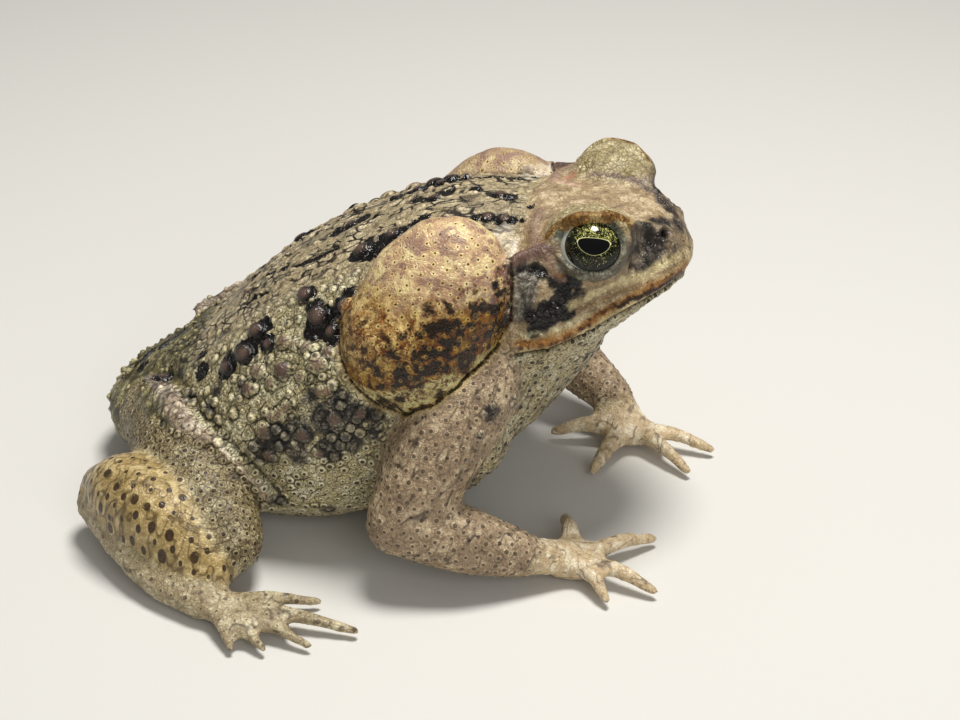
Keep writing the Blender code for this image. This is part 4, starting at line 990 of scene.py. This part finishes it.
# %% Shape and paint the lids
near_eye = np.zeros(len(rest))
lid_paint = {name: np.zeros(len(rest)) for name in LID_PAINTS}
wobble = pattern["ragged"] - 0.5
for side, centre in EYE_CENTRES.items():
    length, way, wide, high = map_round(centre, side)
    tall = high - OPENING_UP
    from_brow = high - np.interp(wide, *zip(*BROW))
    outside = past_edge(wide, tall, from_brow)
    upper = soft(-1.5, 2.5, tall)
    on_brow = soft(-13.2, -11.8, wide) * soft(10, 8.6, wide)
    close = length < EYE_RADIUS + EYE_REACH
    # A lid rises from the glass in a quarter circle; the brow is a roll along the upper one.
    thick = LID_THICK + UPPER_THICKER * upper
    margin = np.clip(outside / (thick - upper), 0, 1)
    lid = EYE_RADIUS + LID_GAP + thick * np.sqrt(1 - (1 - margin) ** 2)
    lid += BROW_RISE * on_brow * np.exp(-from_brow ** 2)
    # Inside the opening the skin sinks below the glass; round it, it is drawn to the lid.
    inside = np.maximum(EYE_RADIUS - INNER_SINK, EYE_RADIUS + LID_GAP + 4 * outside)
    near_lid = soft(3.9, 2.4, outside)
    raised = near_lid * np.maximum(lid - length, 0)
    sunk = near_lid * (1 - upper) * np.minimum(lid - length, 0) * 0.85 * soft(2.6, 0.9, length - lid)
    new_length = np.where(outside < 0, np.minimum(length, inside), length + raised + sunk)
    new_length = np.where(close, new_length, length)
    skin_points = centre + way * new_length[:, None]
    lid_fold = np.exp(-((outside - LID_FOLD) / 0.35) ** 2)
    skin_points -= facing * (LID_FOLD_DEPTH * close * (1 - upper) * lid_fold)[:, None]
    near_eye = np.maximum(near_eye, close * soft(7.0, 4.5, outside))
    # The paints end in ragged borders.
    jagged = from_brow + (0 if side == -1 else 0.9) + 0.9 * wobble
    rim = soft(-BROW_HALF - 0.45, -BROW_HALF - 0.2, from_brow) * (tall > 0) * soft(1.25, 0.75, jagged)
    rim *= close * on_brow
    lower = soft(2.9, 2.3, outside + 0.8 * wobble) * soft(2.9, 1.8, new_length - EYE_RADIUS)
    lower *= close * (1 - upper) * soft(-10.5, -7.5, wide) * soft(10.5, 8.0, wide)
    inner = close * upper * soft(0.25, 0.1, outside) * (1 - rim)
    for name, amount in (("rim", rim), ("inner", inner), ("lower", lower)):
        lid_paint[name] = np.maximum(lid_paint[name], amount)
for name, hexes in LID_PAINTS.items():
    tints += lid_paint[name][:, None] * (paints_of(*hexes) - tints)
store(skin.data, "place", place + near_eye[:, None] * (skin_points - rest))
print("lids shaped within", EYE_REACH, "mm of the glass")

# %% [markdown]
# The mouth is a long slit that the voxels closed, and so are the nostrils. Both are pressed back
# into the skin: a narrow groove along the line of the mouth, and a pit with a raised rim.

# %% Mouth and nostrils
# The slit's half width and depth, then the middle, half width and height of the roll along each lip.
SLIT_HALF, SLIT_DEPTH = 0.36, 0.95
LIP_ROLLS = ((1.4, 0.9, 0.35), (-1.2, 0.7, 0.2))
slit = np.exp(-(from_mouth / SLIT_HALF) ** 2)
lip_roll = sum(rise * np.exp(-((from_mouth - middle) / half) ** 2) for middle, half, rise in LIP_ROLLS)
skin_points += facing * (face_front * (lip_roll - SLIT_DEPTH * slit))[:, None]
NOSTRIL = (67.0, -7.4, 80.9)
NOSTRIL_LONGER, PIT_DEEP = 0.38, 1.7
RIM_AWAY, RIM_HALF, RIM_HEIGHT = 1.75, 0.5, 0.35
pit = np.zeros(len(rest))
for side in (-1, 1):
    off = rest - np.array([NOSTRIL[0], MIDDLE + (MIDDLE - NOSTRIL[1]) * side, NOSTRIL[2]])
    slant = np.array([0.55, -0.45 * side, 0.7])
    away = np.linalg.norm(off - NOSTRIL_LONGER * np.outer(off @ slant, slant), axis=1)
    pit = np.maximum(pit, soft(1.2, 0.85, away))
    rim = RIM_HEIGHT * np.exp(-((away - RIM_AWAY) / RIM_HALF) ** 2)
    skin_points += facing * (rim - PIT_DEEP * soft(1.35, 0.5, away))[:, None]
print("mouth line from", MOUTH[0], "to", MOUTH[-1])

# %% Put the shaped skin in place
# The paint needs no distance beyond FARTHEST. Bumps and hollows are told apart by a blur, and the
# paint lays painted highlight on the bumps and painted shade in the hollows.
FARTHEST = 3
CAVITY_ROUNDS = 7
skin_points = np.clip(skin_points, np.array(cad_low) / MM, np.array(cad_high) / MM)
move_points(skin.data, skin_points)
skin.data.update()
skin.data.polygons.foreach_set("use_smooth", [True] * len(skin.data.polygons))
above_lip = 0.5 + 0.5 * soft(-1.5, 1.5, gland_lip)
shaped = {name: tints[:, 3 * i:3 * i + 3] for i, name in enumerate(PAINTS)}
shaped.update({name: number[name] for name in PAINT_NUMBERS})
shaped.update({
    "gap": np.minimum(gap, FARTHEST), "wart_near": np.minimum(wart_near, FARTHEST),
    "great_near": np.minimum(great_near, FARTHEST), "wart_draw": wart_draw,
    "black": black - 6 * gland, "wrinkle": wrinkle, "back_line": back_line, "gland": gland,
    "gland_high": gland * soft(66, 76, z),
    "gland_blotch": gland * (0.25 + 0.75 * gland_front) * soft(84, 64, z) * above_lip,
    "border": gland_border * deep_border, "cavity": heights - spread(heights, CAVITY_ROUNDS),
    "opening": np.clip(1.2 * slit * face_front + pit, 0, 1),
    "rust": gland * (1 - 0.8 * soft(68, 77, z)) * soft(-1, 1, gland_lip),
})
for name, values in shaped.items():
    store(skin.data, name, values)
print("skin spans", in_mm(skin_points.min(0) * MM), "to", in_mm(skin_points.max(0) * MM))

# %% [markdown]
# Painted resin: a museum caster lays thin coats of acrylic over a cast of the real skin, then a
# satin varnish. The eye reads it as slightly moist. Resin and varnish have an IOR of 1.45 to 1.5.
# The roughness runs from about 0.54 on the dry underside to 0.24 on gland and cheek, and the black
# patches are glossier still. One stack of mix nodes lays the coats in the painter's order; each
# coat's strength is a product of soft steps through the measures of the skin.

# %% Coats of paint
def share(*factors):
    """The product of numbers, measures and soft steps; a step is (measure, 0 here, 1 here)."""
    product = None
    for factor in factors:
        if isinstance(factor, tuple):
            factor = add_node("ShaderNodeMapRange", factor, interpolation_type="SMOOTHSTEP")
        if product is not None:
            factor = add_node("ShaderNodeMath", (product, factor), operation="MULTIPLY")
        product = factor
    return product


def total(*terms, start=0.0):
    """The start value plus each measure times its weight."""
    for measure, weight in terms:
        start = add_node("ShaderNodeMath", (measure, weight, start), operation="MULTIPLY_ADD")
    return start


def lay_coats(below, coats):
    """Lays coats over a first colour; each is a colour and the factors of its strength."""
    for over, *factors in coats:
        below = add_node("ShaderNodeMixRGB", (share(*factors), below, over))
    return below


def new_paint(name):
    """A material without nodes, and its tree."""
    material = bpy.data.materials.new(name)
    material.use_nodes = True
    material.node_tree.nodes.clear()
    return material, material.node_tree


PAINT_NOISES = {"fine": (0.55, 4.0, 3), "clouds": (1.6, 4.0, 9), "mauve": (4.0, 3.0, 17),
                "vein_gaps": (3.6, 2.0, 23), "blotch": (2.8, 3.0, 29), "rust": (2.4, 3.0, 41),
                "border": (4.0, 2.0, 53)}
resin_paint, tree = new_paint("painted_resin_skin")
given = {name: add_node("ShaderNodeAttribute", (), "Fac", attribute_name=name)
         for name in shaped if name not in PAINTS}
crease_and_shade, ground, flecks_and_highlight, tops, where = (
    add_node("ShaderNodeAttribute", (), "Vector", attribute_name=name) for name in (*PAINTS, "place"))
drawn = patterns(where, CELLS, {**NOISES, **PAINT_NOISES})
print("measures for the paint:", len(given) + len(drawn))

# %% The skin's paint
SPOT_BROWN = colour("#2a1913")
near, draw, on_gland = given["wart_near"], given["wart_draw"], given["gland"]
wobble = total((drawn["ragged"], 1), start=-0.5)
tone = total((drawn["mottle"], 0.55), (drawn["clouds"], 0.45))
rough_near = total((near, 1), (wobble, 0.5))
wavy_gap = total((given["gap"], 1), (wobble, 0.7))
outline = share((rough_near, 0.80, 1.0), (rough_near, 1.6, 1.15))
valley = total((outline, 0.45), (share((rough_near, 1.1, 1.8)), 0.15))
pore_rim = total((given["pore_share"], 1), (draw, 0.18), (near, -1), start=-0.09)
pore = share((pore_rim, -0.14, 0.10), given["pore"])
off_gland = total((given["valley"], 1), (on_gland, -1))
line_kinds = (
    share(0.70, (drawn["net_edge"], 0.09, 0.01), given["crack"]),
    share((drawn["flake_edge"], 0.14, 0.04), given["back_line"], (drawn["mottle"], 0.40, 0.52)),
    share(0.85, given["wrinkle"]),
    share(0.95, (wavy_gap, 0.40, 0.08), off_gland),
)
lines = line_kinds[0]
for kind in line_kinds[1:]:
    lines = add_node("ShaderNodeMath", (lines, kind), operation="MAXIMUM")
skin_colour = lay_coats(ground, [
    (flecks_and_highlight, (tone, 0.47, 0.60)),
    (crease_and_shade, 0.60, (tone, 0.46, 0.34)),
    (crease_and_shade, valley, given["valley"]),
    # Painted highlight on the bumps of the relief and painted shade in its hollows.
    (flecks_and_highlight, 0.55, (given["cavity"], 0.03, 0.30)),
    (crease_and_shade, 0.85, (given["cavity"], -0.02, -0.20)),
    (crease_and_shade, 0.50, (drawn["grain_edge"], 0.14, 0.02), given["valley"]),
    (tops, (rough_near, 0.72, 0.35), given["top"], (draw, 0.1, 0.5)),
    (flecks_and_highlight, 0.85, (near, 0.85, 0.55), given["ring"]),
    (SPOT_BROWN, 0.95, pore),
    (crease_and_shade, lines),
])
print("skin coats laid,", len(tree.nodes), "nodes so far")

# %% [markdown]
# The gland is smoother than the skin and shows its pores: each has a dark dot in a pale halo. Rusty
# veins wander over an amber cloud, and the lower front is blotched black, with a thin rusty edge.
# Painted shade darkens the groove along its lower and front border.

# %% Gland paint
MAUVE, AMBER, RUST = colour("#8f6f63"), colour("#8c5410"), colour("#5c2a08")
GLAND_BLACK, PORE_HALO, GLAND_BORDER_SHADE = colour("#0f0a03"), colour("#dcb862"), colour("#1a140c")
from_vein = add_node("ShaderNodeMath", (total((drawn["veins"], 1), start=-0.5),), operation="ABSOLUTE")
low_gland = total((on_gland, 1), (given["gland_high"], -0.8))
blotch = total((drawn["blotch"], 1), (given["gland_blotch"], 0.15))
in_blotch = share((given["gland_blotch"], 0.05, 0.3))
black_blotch = share((blotch, 0.57, 0.665), in_blotch)
halo_strength = total((black_blotch, -0.18), start=0.42)
skin_colour = lay_coats(skin_colour, [
    (MAUVE, 0.80, (drawn["mauve"], 0.50, 0.62), given["gland_high"]),
    (AMBER, 0.75, (drawn["rust"], 0.48, 0.66), given["rust"]),
    (RUST, 0.90, (from_vein, 0.05, 0.014), (drawn["vein_gaps"], 0.42, 0.52), low_gland),
    (RUST, 0.60, (blotch, 0.52, 0.60), in_blotch),
    (GLAND_BLACK, 0.94, black_blotch),
    (PORE_HALO, (near, 1.0, 0.3), on_gland, (draw, 0.25, 0.6), halo_strength),
    (SPOT_BROWN, 0.85, pore, on_gland),
    # Painted shade in the groove along the gland's lower and front border.
    (GLAND_BORDER_SHADE, 0.80, given["border"], (drawn["border"], 0.38, 0.56)),
])
print("gland coats laid,", len(tree.nodes), "nodes so far")

# %% [markdown]
# Black patches lie in groups on the back, most of them round brown warts. The patch has a small
# stack of coats of its own, so that its warts are brown before it is laid on as a whole.

# %% Black patches and their brown warts
PATCH_BLACK, PATCH_WART, PATCH_GRAIN = colour("#0d0a08"), colour("#5f4c42"), colour("#6d5f55")
GREAT_TOP, MOUTH_AND_NOSTRIL_SHADE = colour("#6a5044"), colour("#050404")
great = given["great_near"]
patch = share((total((given["black"], 1), (wobble, 3.0)), -0.1, 0.15))
patch_tone = lay_coats(PATCH_BLACK, [
    (PATCH_WART, (great, 0.95, 0.1)),
    (PATCH_GRAIN, 0.50, (near, 0.5, 0.2), (draw, 0.5, 0.8)),
])
skin_colour = lay_coats(skin_colour, [
    (GREAT_TOP, 0.70, (great, 0.95, 0.15)),
    (patch_tone, patch),
    # Painted shade in the mouth's groove and in the nostril pits.
    (MOUTH_AND_NOSTRIL_SHADE, given["opening"]),
    (crease_and_shade, 0.35, (drawn["fine"], 0.56, 0.70)),
])
print("patches laid,", len(tree.nodes), "nodes so far")

# %% Varnish and fine grain
RESIN_IOR = 1.45
GRAIN_HEIGHT = 0.22 * MM
grain = total((drawn["fine"], 0.6), (share((drawn["grain_edge"], 0.0, 0.25)), 0.5))
bump = add_node("ShaderNodeBump", {"Strength": 0.8, "Distance": GRAIN_HEIGHT, "Height": grain})
varnish = total((given["rough"], 1), (drawn["fine"], 0.25), (patch, -0.10), start=-0.125)
resin = add_node("ShaderNodeBsdfPrincipled", {"Base Color": skin_colour, "Roughness": varnish,
                                              "IOR": RESIN_IOR, "Normal": bump})
add_node("ShaderNodeOutputMaterial", {"Surface": resin})
skin.data.materials.clear()
skin.data.materials.append(resin_paint)
flesh = [name for name in node_names if not name.startswith("eye")]
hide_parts(*flesh)
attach(skin, "root")
print("painted with", len(tree.nodes), "nodes")

# %% [markdown]
# The eye is a glass eye: an iris painted on the back of a clear dome. The iris of a cane toad is
# almost black, dusted with gold, and the pupil is a lying oval with a thin gold line round it. The
# iris is painted straight on the ball, and a clear, very smooth coat over it stands for the dome.

# %% The glass ball
CORNEA_BULGE, CORNEA_ANGLE = 0.25, 1.1
BALL_RINGS = 64


def ball(name, centre, side, radius):
    """A sphere whose pole looks along the gaze; its cornea bulges a little over the iris."""
    gaze, ahead, above = eye_axes(side)
    segments = BALL_RINGS * 2

    def at(a, b):
        below_cornea = CORNEA_BULGE * (1 - math.cos(min(a, CORNEA_ANGLE) / CORNEA_ANGLE * math.pi / 2))
        round_about = ahead * math.cos(b) + above * math.sin(b)
        return centre + (radius - below_cornea) * (gaze * math.cos(a) + math.sin(a) * round_about)

    rows, faces = [at(0, 0)], []
    for i in range(1, BALL_RINGS):
        angle = math.pi * i / BALL_RINGS
        rows += [at(angle, 2 * math.pi * j / segments) for j in range(segments)]
    rows = np.array(rows + [at(math.pi, 0)])
    last = len(rows) - 1
    for j in range(segments):
        k = (j + 1) % segments
        faces.append((0, 1 + j, 1 + k))
        faces.append((last, last - segments + k, last - segments + j))
        for i in range(BALL_RINGS - 2):
            a, b = 1 + i * segments, 1 + (i + 1) * segments
            faces.append((a + j, b + j, b + k, a + k))
    mesh = bpy.data.meshes.new(name)
    mesh.from_pydata((rows * MM).tolist(), [], faces)
    mesh.polygons.foreach_set("use_smooth", [True] * len(mesh.polygons))
    if side == 1:
        mesh.flip_normals()
    obj = bpy.data.objects.new(name, mesh)
    bpy.context.scene.collection.objects.link(obj)
    store(mesh, "look", (rows - centre) @ np.stack([ahead, above, gaze], 1))
    return obj


eyes = {side: ball("glass_" + EYES[side], centre, side, EYE_RADIUS) for side, centre in EYE_CENTRES.items()}
print("eyes of", round(2 * EYE_RADIUS, 1), "mm")

# %% The painted iris
# Sizes in millimetres on the ball; the iris lies a little above the line of the gaze.
IRIS_UP = 0.45
PUPIL_WIDE, PUPIL_TOP, PUPIL_BELOW, PUPIL_UP = 3.7, 1.3, 2.6, 0.8
IRIS_WIDE, IRIS_TALL, IRIS_MIDDLE = 6.45, 5.75, 0.1
IRIS_NOISES = {"dust": (0.27, 3.0, 0), "clumps": (1.1, 2.0, 7), "olive": (1.4, 3.0, 4)}
iris_paint, tree = new_paint("painted_iris_under_glass")
look = add_node("ShaderNodeAttribute", (), "Vector", attribute_name="look")
across, height = (add_node("ShaderNodeSeparateXYZ", (look,), axis) for axis in ("X", "Y"))
upward = total((height, 1), start=-IRIS_UP)
dusted = patterns(look, {}, IRIS_NOISES)


def oval(wide, tall, middle, power):
    """1 on an oval's edge, less inside; a power above 2 flattens its sides, one below 2 points it."""
    parts = []
    for offset, half in ((across, wide), (total((upward, 1), start=-middle), tall)):
        for operation, value in (("DIVIDE", half), ("ABSOLUTE", 0.0), ("POWER", power)):
            offset = add_node("ShaderNodeMath", (offset, value), operation=operation)
        parts.append((offset, 1))
    root = add_node("ShaderNodeMath", (1.0, power), operation="DIVIDE")
    return add_node("ShaderNodeMath", (total(*parts), root), operation="POWER")


upper_half = share((upward, PUPIL_UP - 0.05, PUPIL_UP + 0.05))
pupil_tall = total((upper_half, PUPIL_TOP - PUPIL_BELOW), start=PUPIL_BELOW)
pupil = oval(PUPIL_WIDE, pupil_tall, PUPIL_UP, total((upper_half, 0.9), start=1.75))
pupil_line = total((pupil, 1), (upper_half, -0.05), start=-1.02)
iris = oval(IRIS_WIDE, IRIS_TALL, IRIS_MIDDLE, 2.0)
gold_share = total((dusted["dust"], 0.72), (dusted["clumps"], 0.28), (share((upward, 0.8, 2.6)), 0.055),
                   (share((iris, 0.7, 1.0)), -0.05), start=-0.0275)
GOLD, OLIVE, PUPIL_GOLD = colour("#c2c06e"), colour("#39411d"), colour("#e2dda0")
IRIS_BLACK, PUPIL_BLACK = colour("#050703"), colour("#020202")
IRIS_RIM, WHITE_OF_EYE = colour("#3a4034"), colour("#c9cdc4")
iris_colour = lay_coats(IRIS_BLACK, [
    (GOLD, (gold_share, 0.545, 0.59)),
    (OLIVE, 0.12, (dusted["olive"], 0.45, 0.6)),
    (PUPIL_GOLD, 0.95, (pupil_line, 0.02, -0.02)),
    (PUPIL_BLACK, (pupil, 1.01, 0.98)),
    (IRIS_RIM, 0.70, (iris, 0.95, 0.99)),
    (WHITE_OF_EYE, (iris, 1.0, 1.03)),
])
glass = add_node("ShaderNodeBsdfPrincipled", {
    "Base Color": iris_colour, "Roughness": 0.5, "IOR": 1.1,
    "Coat Weight": 1.0, "Coat Roughness": 0.02, "Coat IOR": 1.38})
add_node("ShaderNodeOutputMaterial", {"Surface": glass})
for side, eye in eyes.items():
    eye.data.materials.append(iris_paint)
    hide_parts(EYES[side])
    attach(eye, "root")
print("iris painted with", len(tree.nodes), "nodes")

# %% [markdown]
# The stage is a plain pale floor with soft light: a large lamp above and behind the left shoulder,
# as the sun stood in the photograph, and a weaker one to fill the shadows. Sizes here are in metres.

# %% Floor and light
FLOOR_HALF = 3
AIM = Vector((0, 0, 0.04))


def lamp(name, place, power, size, tint=(1, 1, 1)):
    """A round lamp that points at the toad."""
    light = bpy.data.lights.new(name, "AREA")
    light.energy = power
    light.shape = "DISK"
    light.size = size
    light.color = tint
    obj = bpy.data.objects.new(name, light)
    obj.location = place
    obj.rotation_euler = (AIM - Vector(place)).to_track_quat("-Z", "Y").to_euler()
    bpy.context.scene.collection.objects.link(obj)
    return obj


corners = [(u * FLOOR_HALF, v * FLOOR_HALF, 0) for u, v in ((-1, -1), (1, -1), (1, 1), (-1, 1))]
floor_mesh = bpy.data.meshes.new("floor")
floor_mesh.from_pydata(corners, [], [(0, 1, 2, 3)])
floor = bpy.data.objects.new("floor", floor_mesh)
bpy.context.scene.collection.objects.link(floor)
board_paint, tree = new_paint("matt_board")
board = add_node("ShaderNodeBsdfPrincipled", {"Base Color": colour("#d8d6d0"), "Roughness": 0.9})
add_node("ShaderNodeOutputMaterial", {"Surface": board})
floor_mesh.materials.append(board_paint)
floor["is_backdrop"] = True
lamp("key", (0.10, 0.05, 0.80), 6.6, 0.26, (1.0, 0.98, 0.95))
lamp("fill", (0.45, -0.75, 0.50), 2.7, 0.6).visible_glossy = False
world = bpy.data.worlds.new("studio")
world.use_nodes = True
sky = world.node_tree.nodes["Background"].inputs
sky["Color"].default_value = (0.9, 0.9, 0.9, 1)
sky["Strength"].default_value = 0.24
bpy.context.scene.world = world
bpy.context.scene.view_settings.view_transform = "Standard"

# %% Camera
# The photograph looks down at the right side from slightly in front.
CAMERA_TARGET = Vector((0.0273, -0.0315, 0.055))
AZIMUTH, ELEVATION, DISTANCE, LENS = math.radians(12), math.radians(30), 0.470, 75
level = math.cos(ELEVATION)
back = Vector((math.sin(AZIMUTH) * level, -math.cos(AZIMUTH) * level, math.sin(ELEVATION)))
camera_data = bpy.data.cameras.new("camera")
camera_data.lens = LENS
camera_data.clip_start = 0.01
camera = bpy.data.objects.new("camera", camera_data)
camera.location = CAMERA_TARGET + back * DISTANCE
camera.rotation_euler = (-back).to_track_quat("-Z", "Y").to_euler()
bpy.context.scene.collection.objects.link(camera)
bpy.context.scene.camera = camera
print("camera at", in_mm(camera.location), "mm")

# %% Measure the scene's size and finish
low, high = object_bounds()
print("scene box", in_mm(low), in_mm(high))
